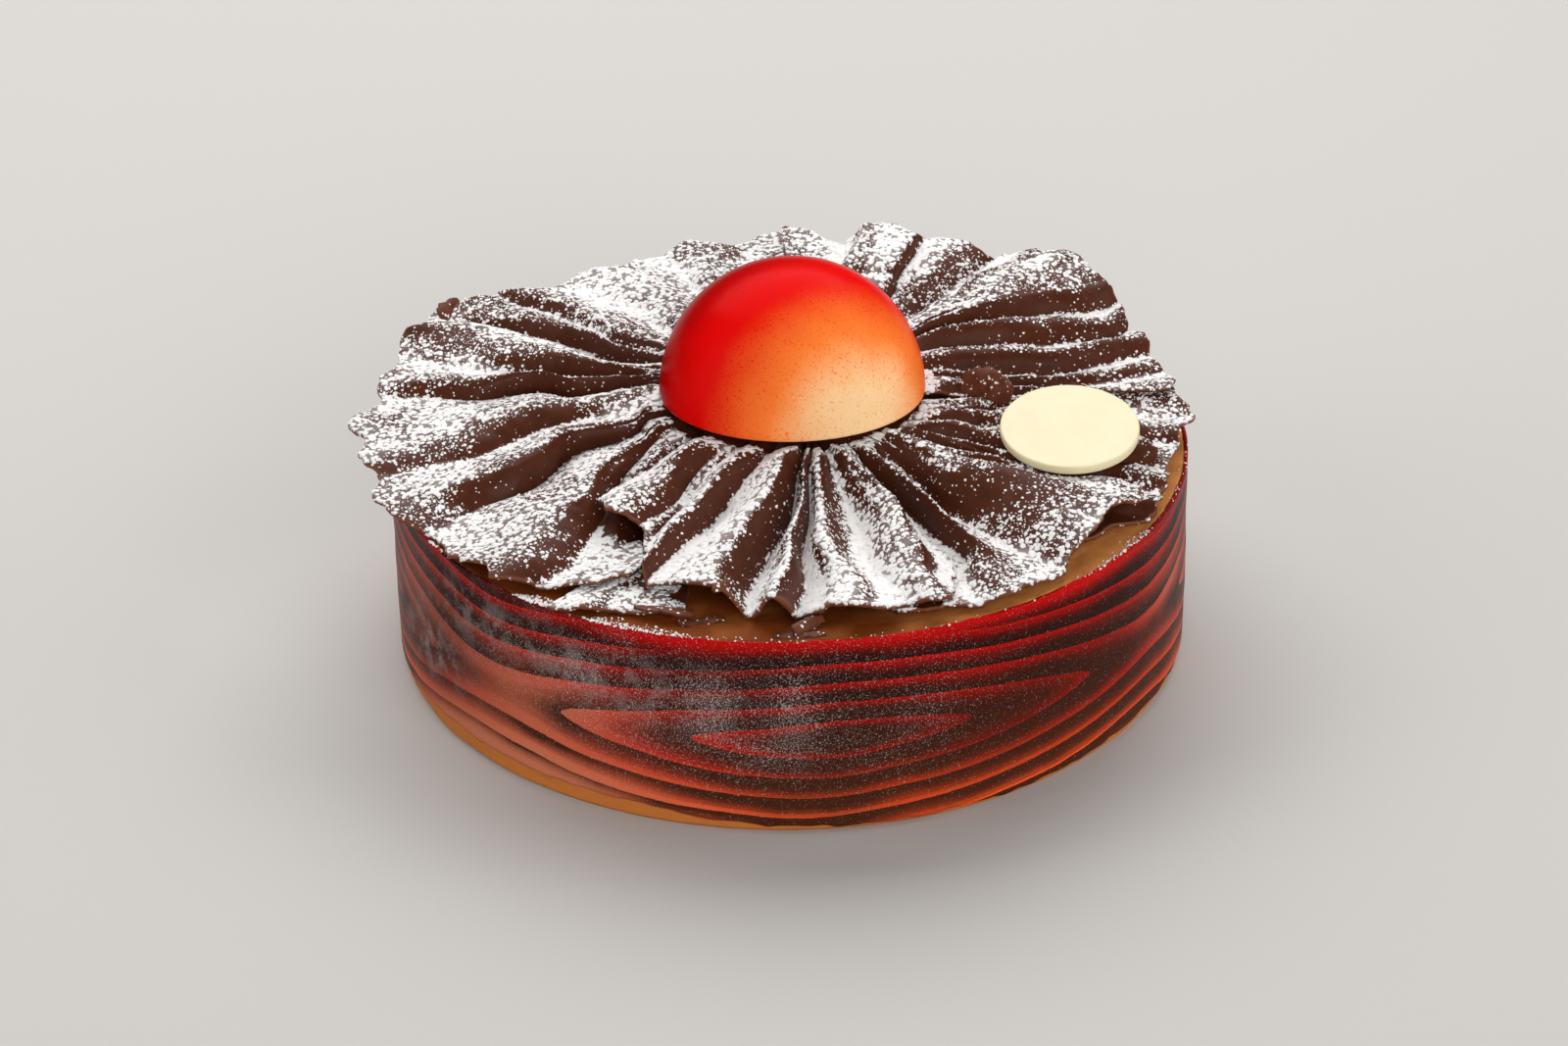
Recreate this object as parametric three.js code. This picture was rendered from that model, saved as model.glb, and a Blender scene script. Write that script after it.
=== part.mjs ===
// Chocolate mousse cake: a round mousse in a thin wood-grain chocolate collar, covered with fans of
// pleated chocolate, with a sprayed half ball in the middle and a white chocolate disc beside it.
// Millimetres, +Z up. The cake rests on z = 0, centred on the axis, with its front toward -Y.
import * as THREE from "three";

// Round mousse and its collar
const CAKE_RADIUS = 90;
const CAKE_HEIGHT = 47;
const CAKE_SEGMENTS = 96;
const MOUSSE_FOOT_BEVEL = 0.8;
const COLLAR_THICKNESS = 0.8;
const COLLAR_TOP = 47.2;
const GAP = 0.3;

// The collar stops short of the floor, higher at some places where more mousse shows below it
const COLLAR_FOOT = 1.5;
const COLLAR_RISES = [
  { angle: 215, width: 26, height: 3.4 },
  { angle: 247, width: 16, height: 2.2 },
  { angle: 336, width: 22, height: 1.4 },
  { angle: 95, width: 30, height: 2.0 },
];

// Pleated chocolate sheets
const SHEET_THICKNESS = 0.9;
const STEEPEST_THICKENING = 2.4;
const COLUMN_DEGREES = 2.4;
const COLUMNS_PER_SIDE = 2;
const RADIAL_ROWS = 11;
const LOWEST_TOP = 1.2;

// Pleats are shallow where a fan is gathered, full about half way out, and flatter at the rim
const GATHERED_DEPTH = 0.25;
const FULL_DEPTH_AT = 0.5;
const FLATTENS_AT = 0.4;
const OPENING_POWER = 1.8;

// Pleats bulge and lean toward the front of the cake. The right half is centred on this angle
const FRONT_BULGE = 0.85;
const BACK_BULGE = 0.1;
const RIGHT_HALF = 5;
const LEAN = 0.4;

// Pleats wander sideways a little, except along the two sides of a fan
const MEANDER_DEGREES = 0.9;
const MEANDER_WAVES = [
  { share: 1, perDegree: 0.13, perLength: 3.4, phase: 0 },
  { share: 0.8, perDegree: 0.29, perLength: -6.1, phase: 1.3 },
];
const SIDE_DEGREES = 6;

// Each ridge also bows to one side half way out
const BOW_DEGREES = 2.5;
const BOW_WAVES = [{ share: 1, perDegree: 0.19, perLength: 0, phase: 2 }];

// The rim is torn unevenly
const TORN_EDGE = 0.02;
const TORN_WAVES = [
  { share: 1, perDegree: 0.23, perLength: 0, phase: 0 },
  { share: 0.6, perDegree: 0.61, perLength: 0, phase: 1 },
];

// Each fan lies clear of those below it, rounded where it climbs onto them
const STACK_GAP = 0.9;
const STACK_BLEND = 1.5;
const STACK_MARGIN = 2;
const STACK_SEARCH = 14;
const SEARCH_ASIDE = 60;
const SEARCH_STEPS = 14;
const PATCH_DEGREES = 0.9;
const PATCH_LENGTH = 3.5;

// Fans from the lowest sheet to the top one. inner is the radius of the gathered end. Each mark is a
// side, crest or trough: its angle at the rim and at the gathered end, in degrees round the cake from
// +X, its height over the mousse half way out and at the rim, and the radius of the rim there.
const [RIM_ANGLE, GATHERED_ANGLE, HEIGHT, RIM_HEIGHT, RIM_RADIUS] = [0, 1, 2, 3, 4];
const FANS = [
  {
    name: "ruffle_shard", inner: 60,
    marks: [
      [234, 239, 1.3, 1.3, 90], [239, 241.5, 2.4, 2, 89], [244, 244, 1.4, 1.4, 86],
      [249, 246.5, 2.2, 2, 84], [254, 249, 1.3, 1.3, 81],
    ],
  },
  {
    name: "ruffle_right", inner: 22,
    marks: [
      [322, 306, 3, 2, 84], [330, 311, 5.5, 3, 88], [335, 317, 10, 6, 90],
      [338, 321, 6.5, 4.5, 90], [342, 326, 11, 6.5, 90], [345.5, 331, 6, 4.5, 89.5],
      [350, 338, 10.5, 6.5, 89], [353, 342, 6.5, 5, 89], [357, 348, 11, 7, 89],
      [360.5, 353, 7, 5.5, 89], [366, 361, 10, 7.5, 87.5], [373, 370, 4, 5, 86.5],
    ],
  },
  {
    name: "ruffle_front_right", inner: 22,
    marks: [
      [285, 298, 1.6, 1.4, 84], [298, 304, 4, 2, 88], [302, 308, 12, 5, 90],
      [313, 315, 3.2, 2.2, 86], [326.5, 319.5, 13, 9.5, 85.5], [330, 321.5, 9, 8.5, 86],
      [332.5, 323.5, 8, 8, 86], [336.5, 326, 4.5, 3, 86],
    ],
  },
  {
    name: "ruffle_back_left", inner: 24,
    marks: [
      [80, 84, 5, 9, 86], [88, 92, 10, 11, 87], [95, 97, 7.5, 9.5, 86], [103, 104, 10.5, 11.5, 86],
      [110, 109, 8, 9.5, 83], [118, 115, 11, 11, 82], [125, 120, 8.5, 9.5, 83],
      [132, 125, 11, 11.5, 87], [137, 128, 8.5, 9, 90], [142, 131, 11, 10, 92],
      [147, 135, 6, 8, 97], [152, 139, 6.5, 9, 98], [157, 143, 4, 6, 97],
    ],
  },
  {
    name: "ruffle_left", inner: 24,
    marks: [
      [148, 138, 7, 8, 94], [154.5, 142, 12, 8.5, 96], [159.5, 144, 6, 7, 97],
      [164.5, 146, 11, 8, 95.5], [170, 148, 4.5, 6, 95.5], [187.5, 151, 10.5, 5.5, 96.5],
      [191, 163, 6.5, 4, 95], [200, 174, 10.5, 4.5, 94], [210, 178, 3, 1.3, 92], [225, 187, 9, 5.5, 90],
      [230.5, 193, 3, 2, 84], [236, 200, 5, 2, 80], [241, 206, 1.6, 1.4, 76],
    ],
  },
  {
    name: "ruffle_back", inner: 24,
    marks: [
      [53, 57, 9, 10, 84], [57, 60, 7, 11.5, 83], [62, 64, 9.5, 14.5, 81], [66, 67.5, 10.5, 15, 79],
      [67.5, 69, 12, 18, 77], [77, 77, 13, 18.5, 77], [80, 80, 9, 12, 78], [84, 84, 10.5, 12, 85],
      [89, 88, 6, 10, 86],
    ],
  },
  {
    name: "ruffle_back_right", inner: 24,
    marks: [
      [6, 14, 5, 5, 86.5], [12, 22, 9, 6.5, 87], [13.8, 26, 6.5, 5.5, 88], [15.8, 30, 9.5, 8, 89],
      [18, 34, 6.5, 6.5, 90], [21.5, 41, 12.5, 10, 90], [25, 46, 8.5, 8, 90],
      [29.5, 51, 14, 11.5, 90], [32, 53, 10, 9.5, 90.5], [36, 55, 16, 14.5, 91],
      [44, 58, 16, 17.5, 91], [50, 60, 15, 17.5, 86], [55, 63, 8, 12, 84],
    ],
  },
  {
    name: "ruffle_front", inner: 22,
    marks: [
      [222, 212, 6, 8, 58], [229, 222, 11, 10.5, 60], [235, 236, 7, 7, 61], [239, 243, 7, 5, 68],
      [244, 250, 11, 8, 76], [248, 259, 5, 4.5, 77], [258, 277, 13, 8, 79],
      [263, 280, 3, 1.3, 82.5], [269, 282.5, 10.5, 9.5, 84], [271.5, 284.5, 4.5, 2, 80],
      [278, 287.5, 10, 6.5, 83], [285.5, 291.5, 3, 1.3, 85], [292.5, 296.5, 12, 6.5, 89],
      [295.5, 300, 7, 3, 86], [298, 303, 4, 2, 80],
    ],
  },
];

// Half ball of sprayed chocolate, tipped back a little
const DOME = { x: 1, y: 2, z: 59.4, radius: 30, tipFront: -4, gap: 0.95 };
const DOME_SEGMENTS = 44;
const DOME_RINGS = 12;

// White chocolate disc, tipped toward the front
const DISC = { x: 62, y: -20, z: 58.6, radius: 15.4, tipFront: 9, gap: 0.3 };
const DISC_THICKNESS = 2;
const DISC_EDGE = 0.4;
const DISC_SEGMENTS = 48;

// Ruffles are bunched up round the half ball, which rests on them
const BUNCH_LEVEL = 9.5;
const BUNCH_REACH = 20;

// Pleats stand up under the raised back of the disc and carry it
const PROP_RISE = 4.5;
const PROP_REACH = 5;

// Ruffles are pressed flat under the half ball and the disc, and stand free beyond them
const PRESS_MARGIN = 2;
const PRESS_RELEASE = 2;
const PRESS_SHARPNESS = 8;
const PRESS_HEIGHT = 12;
const FREE_HEIGHT = 60;

const radians = THREE.MathUtils.degToRad;
const mix = THREE.MathUtils.lerp;
const clamp = THREE.MathUtils.clamp;

function ease(x) {
  return THREE.MathUtils.smoothstep(x, 0, 1);
}

function material(colour, roughness) {
  return new THREE.MeshStandardMaterial({ color: colour, roughness, metalness: 0 });
}

const mousseMaterial = material(0x8a5a3c, 0.8);
const collarMaterial = material(0x5a1a14, 0.35);
const ruffleMaterial = material(0x4a2a20, 0.5);
const domeMaterial = material(0xe0401f, 0.25);
const discMaterial = material(0xf8eecb, 0.4);

const cake = new THREE.Group();

function addMesh(name, geometry, finish) {
  const mesh = new THREE.Mesh(geometry, finish);
  mesh.name = name;
  cake.add(mesh);
}

// A turned body: profile points are [radius, height], listed from the foot upward
function turned(profile, segments) {
  const points = profile.map(([radius, height]) => new THREE.Vector2(radius, height));
  return new THREE.LatheGeometry(points, segments).rotateX(Math.PI / 2);
}

// Solid mousse
const mousseRadius = CAKE_RADIUS - COLLAR_THICKNESS - GAP;
const mousseProfile = [
  [0, 0],
  [mousseRadius - MOUSSE_FOOT_BEVEL, 0],
  [mousseRadius, MOUSSE_FOOT_BEVEL],
  [mousseRadius, CAKE_HEIGHT],
  [0, CAKE_HEIGHT],
];
addMesh("mousse", turned(mousseProfile, CAKE_SEGMENTS), mousseMaterial);

// Thin collar, its foot line rising and falling round the cake
function collarFoot(angle) {
  let height = COLLAR_FOOT;
  for (const rise of COLLAR_RISES) {
    const away = ((angle - rise.angle + 540) % 360) - 180;
    height += rise.height * Math.exp(-((away / rise.width) ** 2));
  }
  return height;
}

function collar() {
  const inside = CAKE_RADIUS - COLLAR_THICKNESS;
  const profile = [
    [inside, COLLAR_FOOT],
    [CAKE_RADIUS, COLLAR_FOOT],
    [CAKE_RADIUS, COLLAR_TOP],
    [inside, COLLAR_TOP],
    [inside, COLLAR_FOOT],
  ];
  const geometry = turned(profile, CAKE_SEGMENTS);
  const place = geometry.getAttribute("position");
  for (let i = 0; i < place.count; i += 1) {
    const angle = THREE.MathUtils.radToDeg(Math.atan2(place.getY(i), place.getX(i)));
    if (place.getZ(i) < CAKE_HEIGHT / 2) {
      place.setZ(i, collarFoot(angle));
    }
  }
  return geometry;
}
addMesh("collar", collar(), collarMaterial);

// The marks on both sides of an angle of the rim, and how far it lies from one to the other
function neighbours(fan, angle) {
  let i = 1;
  while (i < fan.marks.length - 1 && angle > fan.marks[i][RIM_ANGLE]) {
    i += 1;
  }
  const before = fan.marks[i - 1];
  const after = fan.marks[i];
  const share = (angle - before[RIM_ANGLE]) / (after[RIM_ANGLE] - before[RIM_ANGLE]);
  return { before, after, share };
}

// A height of a fan at an angle of its rim: bulging on sides that face the front, wavy on others
function folded(fan, item, angle) {
  const { before, after, share } = neighbours(fan, angle);
  const low = Math.min(before[item], after[item]);
  const high = Math.max(before[item], after[item]);
  const rise = after[item] - before[item];
  const within = clamp(share, 0, 1);
  const climb = rise > 0 ? within : 1 - within;
  const toFront = Math.cos(radians(angle - RIGHT_HALF)) * rise > 0;
  const wavy = (1 - Math.cos(Math.PI * climb)) / 2;
  const round = 1 - (1 - climb) ** 2;
  return mix(low, high, mix(wavy, round, toFront ? FRONT_BULGE : BACK_BULGE));
}

function waves(list, angle, along) {
  let sum = 0;
  for (const wave of list) {
    sum += wave.share * Math.sin(wave.perDegree * angle + wave.perLength * along + wave.phase);
  }
  return sum;
}

// Length of a fan from its gathered end to its rim, and the share of it at which the sheet is torn off
function fanLength(fan, angle) {
  const { before, after, share } = neighbours(fan, angle);
  return mix(before[RIM_RADIUS], after[RIM_RADIUS], ease(share)) - fan.inner;
}

function tornLength(angle) {
  return 1 + TORN_EDGE * waves(TORN_WAVES, angle, 0);
}

// Angle round the cake of the line that ends at an angle of the rim, wandering a little
function swept(fan, angle, along) {
  const opened = 1 - (1 - clamp(along, 0, 1)) ** OPENING_POWER;
  const inward = ease(Math.min(angle - fan.first, fan.last - angle) / SIDE_DEGREES);
  const bow = Math.sin(Math.PI * clamp(along, 0, 1)) * waves(BOW_WAVES, angle, 0);
  const wander = inward * (MEANDER_DEGREES * waves(MEANDER_WAVES, angle, along) + BOW_DEGREES * bow);
  const { before, after, share } = neighbours(fan, angle);
  return mix(mix(before[GATHERED_ANGLE], after[GATHERED_ANGLE], share), angle + wander, opened);
}

// Top of a fan at an angle of the rim and a share of its length, before it is laid on others
function ownTop(fan, angle, along) {
  const depth = mix(GATHERED_DEPTH, 1, ease(along / FULL_DEPTH_AT));
  const inner = fan.meanHeight + depth * (folded(fan, HEIGHT, angle) - fan.meanHeight);
  const outward = ease((along - FLATTENS_AT) / (1 - FLATTENS_AT));
  return Math.max(mix(inner, folded(fan, RIM_HEIGHT, angle), outward), LOWEST_TOP);
}

// Whether a place round the cake lies on a fan or close beside it
function isNear(fan, degrees, radius) {
  const aside = THREE.MathUtils.radToDeg(STACK_SEARCH / radius);
  const start = swept(fan, fan.first, (radius - fan.inner) / fanLength(fan, fan.first));
  const end = swept(fan, fan.last, (radius - fan.inner) / fanLength(fan, fan.last));
  return radius > fan.inner - STACK_SEARCH && degrees > start - aside && degrees < end + aside;
}

// Angle of the rim at which the line over a place round the cake ends
function lineThrough(fan, degrees, radius) {
  let low = fan.first - SEARCH_ASIDE;
  let high = fan.last + SEARCH_ASIDE;
  for (let i = 0; i < SEARCH_STEPS; i += 1) {
    const angle = (low + high) / 2;
    if (swept(fan, angle, (radius - fan.inner) / fanLength(fan, angle)) < degrees) {
      low = angle;
    } else {
      high = angle;
    }
  }
  return (low + high) / 2;
}

// Top of the fan of one level at a place round the cake, falling away beyond its edges
function topAt(level, degrees, radius) {
  const fan = FANS[level];
  if (!isNear(fan, degrees, radius)) {
    return -Infinity;
  }
  const inside = clamp(lineThrough(fan, degrees, radius), fan.first, fan.last);
  const length = fanLength(fan, inside);
  const along = (radius - fan.inner) / length;
  const within = clamp(along, 0, tornLength(inside));
  const aside = radians(degrees - swept(fan, inside, along)) * radius;
  const beyond = Math.hypot(aside, (along - within) * length);
  if (beyond > STACK_SEARCH) {
    return -Infinity;
  }
  const top = laidTop(fan, inside, within, topBelow(level, degrees, radius));
  return top - Math.max(beyond - STACK_MARGIN, 0);
}

// The larger of two heights, rounded where they meet
function higher(a, b) {
  const near = Math.max(STACK_BLEND - Math.abs(a - b), 0) / STACK_BLEND;
  return Math.max(a, b) + (near * near * STACK_BLEND) / 4;
}

// Highest top of the fans below a level at a place round the cake
function topBelow(level, degrees, radius) {
  let under = -Infinity;
  for (let below = 0; below < level; below += 1) {
    for (const turn of [-360, 0, 360]) {
      under = Math.max(under, topAt(below, degrees + turn, radius));
    }
  }
  return under;
}

// The same over a small patch, so that the flat triangles between points stay clear as well
function topAround(level, degrees, radius) {
  let under = -Infinity;
  for (const aside of [-PATCH_DEGREES, 0, PATCH_DEGREES]) {
    for (const ahead of [-PATCH_LENGTH, 0, PATCH_LENGTH]) {
      under = Math.max(under, topBelow(level, degrees + aside, radius + ahead));
    }
  }
  return under;
}

// Top of a fan at an angle of the rim and a share of its length, laid on whatever is under it
function laidTop(fan, angle, along, under) {
  const own = ownTop(fan, angle, along);
  return under > 0 ? higher(own, under + STACK_GAP + SHEET_THICKNESS) : own;
}

// Ridges lean round the cake toward the front, more the higher they stand
function leaned(degrees, radius, height) {
  const turn = radians(degrees);
  const push = -LEAN * height * Math.cos(turn);
  const x = radius * Math.cos(turn) - push * Math.sin(turn);
  const y = radius * Math.sin(turn) + push * Math.cos(turn);
  return [x, y, CAKE_HEIGHT + height];
}

// How far the ruffles are bunched up at a place round the cake
function bunched(degrees, radius) {
  const x = radius * Math.cos(radians(degrees)) - DOME.x;
  const y = radius * Math.sin(radians(degrees)) - DOME.y;
  const base = DOME.z + Math.tan(radians(DOME.tipFront)) * y - CAKE_HEIGHT;
  const away = Math.hypot(x, y) - DOME.radius;
  return Math.max(base - BUNCH_LEVEL, 0) * (1 - ease(away / BUNCH_REACH));
}

// How far the pleats stand up under the back of the disc
function propped(degrees, radius) {
  const [x, y] = leaned(degrees, radius, PRESS_HEIGHT);
  const back = (y - DISC.y) / DISC.radius;
  const away = Math.hypot(x - DISC.x, y - DISC.y) - DISC.radius;
  return PROP_RISE * ease((1 + back) / 2) * (1 - ease(away / PROP_REACH));
}

// Height free under the half ball and the disc
function room(degrees, radius) {
  const [x, y] = leaned(degrees, radius, PRESS_HEIGHT);
  let free = FREE_HEIGHT;
  for (const piece of [DOME, DISC]) {
    const base = piece.z + Math.tan(radians(piece.tipFront)) * (y - piece.y) - CAKE_HEIGHT - piece.gap;
    const away = Math.hypot(x - piece.x, y - piece.y) - piece.radius - PRESS_MARGIN;
    free = Math.min(free, base + PRESS_RELEASE * Math.max(away, 0));
  }
  return free;
}

function pressed(degrees, radius, height) {
  if (height <= 0) {
    return height;
  }
  const share = height / room(degrees, radius);
  return height / (1 + share ** PRESS_SHARPNESS) ** (1 / PRESS_SHARPNESS);
}

// A closed thin sheet from two like grids of points, the same diagonals on both faces
function sheet(columns, rows, upper, lower) {
  const count = (columns + 1) * (rows + 1);
  const at = (column, row) => column * (rows + 1) + row;
  const index = [];
  const quad = (a, b, c, d) => index.push(a, b, c, a, c, d);
  for (let i = 0; i < columns; i += 1) {
    for (let j = 0; j < rows; j += 1) {
      const corners = [at(i, j), at(i, j + 1), at(i + 1, j + 1), at(i + 1, j)];
      quad(...corners);
      const [a, b, c, d] = corners.map((corner) => corner + count);
      index.push(a, c, b, a, d, c);
    }
  }
  const wall = (a, b) => quad(b, a, a + count, b + count);
  for (let i = 0; i < columns; i += 1) {
    wall(at(i + 1, 0), at(i, 0));
    wall(at(i, rows), at(i + 1, rows));
  }
  for (let j = 0; j < rows; j += 1) {
    wall(at(0, j), at(0, j + 1));
    wall(at(columns, j + 1), at(columns, j));
  }
  const geometry = new THREE.BufferGeometry();
  const places = new Float32Array([...upper, ...lower].flat());
  geometry.setAttribute("position", new THREE.BufferAttribute(places, 3));
  geometry.setIndex(index);
  return geometry;
}

// Angles of a fan's columns: one on each mark, and even steps between them
function columnAngles(fan) {
  const angles = [fan.first];
  for (let k = 1; k < fan.marks.length; k += 1) {
    const start = fan.marks[k - 1][RIM_ANGLE];
    const end = fan.marks[k][RIM_ANGLE];
    const steps = Math.max(COLUMNS_PER_SIDE, Math.round((end - start) / COLUMN_DEGREES));
    for (let i = 1; i <= steps; i += 1) {
      angles.push(mix(start, end, i / steps));
    }
  }
  return angles;
}

function ruffle(fan, level) {
  const angles = columnAngles(fan);
  const columns = angles.length - 1;
  const rows = RADIAL_ROWS;
  const grid = [];
  for (const angle of angles) {
    for (let j = 0; j <= rows; j += 1) {
      const along = (j / rows) * tornLength(angle);
      const radius = fan.inner + along * fanLength(fan, angle);
      const degrees = swept(fan, angle, along);
      const under = topAround(level, degrees, radius);
      const lift = bunched(degrees, radius) + propped(degrees, radius);
      const top = pressed(degrees, radius, laidTop(fan, angle, along, under) + lift);
      const floor = pressed(degrees, radius, Math.max(under + lift + STACK_GAP, GAP));
      grid.push({ degrees, radius, top, floor });
    }
  }
  const upper = [];
  const lower = [];
  grid.forEach((node, k) => {
    const i = Math.floor(k / (rows + 1));
    const next = grid[k + (i < columns ? rows + 1 : 0)];
    const last = grid[k - (i > 0 ? rows + 1 : 0)];
    const apart = radians(next.degrees - last.degrees) * node.radius;
    const slope = Math.hypot(1, (next.top - last.top) / apart);
    const thick = SHEET_THICKNESS * Math.min(slope, STEEPEST_THICKENING);
    const bottom = Math.max(node.top - thick, node.floor);
    upper.push(leaned(node.degrees, node.radius, node.top));
    lower.push(leaned(node.degrees, node.radius, bottom));
  });
  addMesh(fan.name, sheet(columns, rows, upper, lower), ruffleMaterial);
}

FANS.forEach((fan) => {
  fan.first = fan.marks[0][RIM_ANGLE];
  fan.last = fan.marks[fan.marks.length - 1][RIM_ANGLE];
  fan.meanHeight = fan.marks.reduce((sum, mark) => sum + mark[HEIGHT], 0) / fan.marks.length;
});
FANS.forEach((fan, level) => ruffle(fan, level));

// A turned body tipped toward the front and set in its place
function placed(geometry, piece) {
  geometry.rotateX(radians(piece.tipFront));
  return geometry.translate(piece.x, piece.y, piece.z);
}

// Half ball
const domeProfile = [[0, 0]];
for (let i = 0; i < DOME_RINGS; i += 1) {
  const rise = (Math.PI / 2) * (i / DOME_RINGS);
  domeProfile.push([DOME.radius * Math.cos(rise), DOME.radius * Math.sin(rise)]);
}
domeProfile.push([0, DOME.radius]);
addMesh("dome", placed(turned(domeProfile, DOME_SEGMENTS), DOME), domeMaterial);

// Disc with eased edges
const discProfile = [
  [0, 0],
  [DISC.radius - DISC_EDGE, 0],
  [DISC.radius, DISC_EDGE],
  [DISC.radius, DISC_THICKNESS - DISC_EDGE],
  [DISC.radius - DISC_EDGE, DISC_THICKNESS],
  [0, DISC_THICKNESS],
];
addMesh("disc", placed(turned(discProfile, DISC_SEGMENTS), DISC), discMaterial);

export default cake;
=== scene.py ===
import itertools
import math

import bpy
import numpy as np
from mathutils import Matrix


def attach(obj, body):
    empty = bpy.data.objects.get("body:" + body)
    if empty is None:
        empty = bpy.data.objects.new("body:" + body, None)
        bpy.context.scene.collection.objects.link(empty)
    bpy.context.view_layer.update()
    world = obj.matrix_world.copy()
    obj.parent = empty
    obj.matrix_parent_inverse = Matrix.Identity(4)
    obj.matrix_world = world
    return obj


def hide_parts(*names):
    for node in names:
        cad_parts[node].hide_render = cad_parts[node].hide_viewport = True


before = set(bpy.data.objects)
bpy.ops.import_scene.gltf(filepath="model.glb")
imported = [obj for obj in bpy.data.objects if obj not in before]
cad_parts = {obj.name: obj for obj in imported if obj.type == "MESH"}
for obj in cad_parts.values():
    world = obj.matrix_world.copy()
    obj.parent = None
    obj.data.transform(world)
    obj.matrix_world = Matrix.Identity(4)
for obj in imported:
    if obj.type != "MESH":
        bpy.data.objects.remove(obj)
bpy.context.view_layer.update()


# Mousse: one round of set chocolate mousse, frozen in a ring, turned out and smoothed level on top.
# A little of the top shows in front of the ruffles, and a paler foot with small open air bubbles
# shows below the collar.
MM = 0.001
CAKE_RADIUS = 90.0
CAKE_HEIGHT = 47.0
MOUSSE_RADIUS = 89.15
MOUSSE_FOOT_BEVEL = 0.8
MOUSSE_TOP_BEVEL = 0.3
MOUSSE_COLUMNS = 600
FOOT_SHOWS_TO = 8.0
FOOT_STEP = 0.4
HIDDEN_HEIGHTS = (12, 24, 36, 44)
TOP_SHOWS_FROM = 68.0
TOP_STEP = 0.5
HIDDEN_RADII = (60, 40)
TOP_SWELL = 0.35
BUBBLE_SIZE = 1.3
BUBBLE_LEVEL = 0.68
BUBBLE_SLOPE = 3.0
TOP_BUBBLE_DEPTH = 0.25
FOOT_BUBBLE_DEPTH = 0.5
FOOT_UNEVEN = 0.5
MOUSSE_TOP = "#de914e"
MOUSSE_TOP_DARK = "#c47a41"
# Darker tone of the top where a shadow of the ruffles is painted on it
MOUSSE_IN_SHADOW = "#78380f"
MOUSSE_FOOT = "#c07234"
MOTTLE_SIZE = 6.0
PORE_SIZE = 0.7

# Painted shadow of the ruffles on the top: angle round the cake and width in degrees, then how strong they
# are
RUFFLE_SHADOWS = [(262, 34), (222, 20), (150, 24), (70, 30)]
SHADOW_LEAST, SHADOW_VARIES = 0.65, 0.7

# Sockets that Blender gives by number: the ends of a map range, and the share and colours of a mix
FROM_LOW, FROM_HIGH, TO_LOW, TO_HIGH = 1, 2, 3, 4
SHARE, UNDER, OVER = 0, 6, 7
COLOUR_MIX = {"data_type": "RGBA", "take": 2}


def colour(code):
    """Linear colour of an sRGB hex code."""
    parts = [int(code[i:i + 2], 16) / 255 for i in (1, 3, 5)]
    return [c / 12.92 if c <= 0.04045 else ((c + 0.055) / 1.055) ** 2.4 for c in parts] + [1.0]


def add(material, kind, inputs=None, take=0, **settings):
    """Adds a node with its settings, sets or links its inputs, and gives one of its outputs."""
    node = material.node_tree.nodes.new("ShaderNode" + kind)
    for name, value in settings.items():
        setattr(node, name, value)
    for socket, value in (inputs or {}).items():
        if isinstance(value, bpy.types.NodeSocket):
            material.node_tree.links.new(value, node.inputs[socket])
        else:
            node.inputs[socket].default_value = value
    return node.outputs[take] if len(node.outputs) else None


def per_metre(size):
    """Scale of a pattern whose marks are size mm across."""
    return 1 / (size * MM)


def new_material(name):
    """An empty node material."""
    material = bpy.data.materials.new(name)
    material.use_nodes = True
    material.node_tree.nodes.clear()
    return material


def grain(points, size, seed):
    """A random value from 0 to 1 at each point that changes smoothly over about size mm."""
    cell = points / size
    low = np.floor(cell).astype(np.int64)
    part = cell - low
    part = part * part * (3 - 2 * part)
    total = np.zeros(points.shape[:-1])
    for corner in itertools.product((0, 1), repeat=3):
        # Large numbers scramble the corner's place into a value that looks random
        key = (low + corner) @ np.array([73856093, 19349663, 83492791]) + seed * 1013904223
        key = ((key ^ (key >> 13)) * 1274126177) & 0x7FFFFFFF
        key = ((key ^ (key >> 15)) * 1103515245) & 0x7FFFFFFF
        share = np.prod(np.where(corner, part, 1 - part), axis=-1)
        total += share * ((key >> 7) % 4096) / 4095
    return total


def wrapped(degrees, middle):
    """Degrees away from middle, from -180 to 180."""
    return (degrees - middle + 180) % 360 - 180


def quads(columns, rows, closed=False):
    """Four-sided faces over points laid out column by column."""
    column = np.arange(columns if closed else columns - 1)[:, None]
    row = np.arange(rows - 1)[None, :]
    after = (column + 1) % columns
    corners = [column * rows + row, after * rows + row, after * rows + row + 1, column * rows + row + 1]
    return np.stack(corners, -1).reshape(-1, 4)


def piece(name, points, faces, material, body_slot, **values):
    """A smooth mesh object from points in mm and lists of faces, with a value per point where given."""
    loops = np.concatenate([group.ravel() for group in faces])
    sizes = np.concatenate([np.full(len(group), group.shape[1]) for group in faces])
    mesh = bpy.data.meshes.new(name)
    mesh.vertices.add(len(points))
    mesh.vertices.foreach_set("co", (points * MM).ravel())
    mesh.loops.add(len(loops))
    mesh.loops.foreach_set("vertex_index", loops)
    mesh.polygons.add(len(sizes))
    mesh.polygons.foreach_set("loop_start", np.cumsum(sizes) - sizes)
    mesh.update(calc_edges=True)
    mesh.shade_smooth()
    for label, value in values.items():
        mesh.attributes.new(label, "FLOAT", "POINT").data.foreach_set("value", value.ravel())
    mesh.materials.append(material)
    made = bpy.data.objects.new(name, mesh)
    bpy.context.scene.collection.objects.link(made)
    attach(made, "root")
    return made


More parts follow.
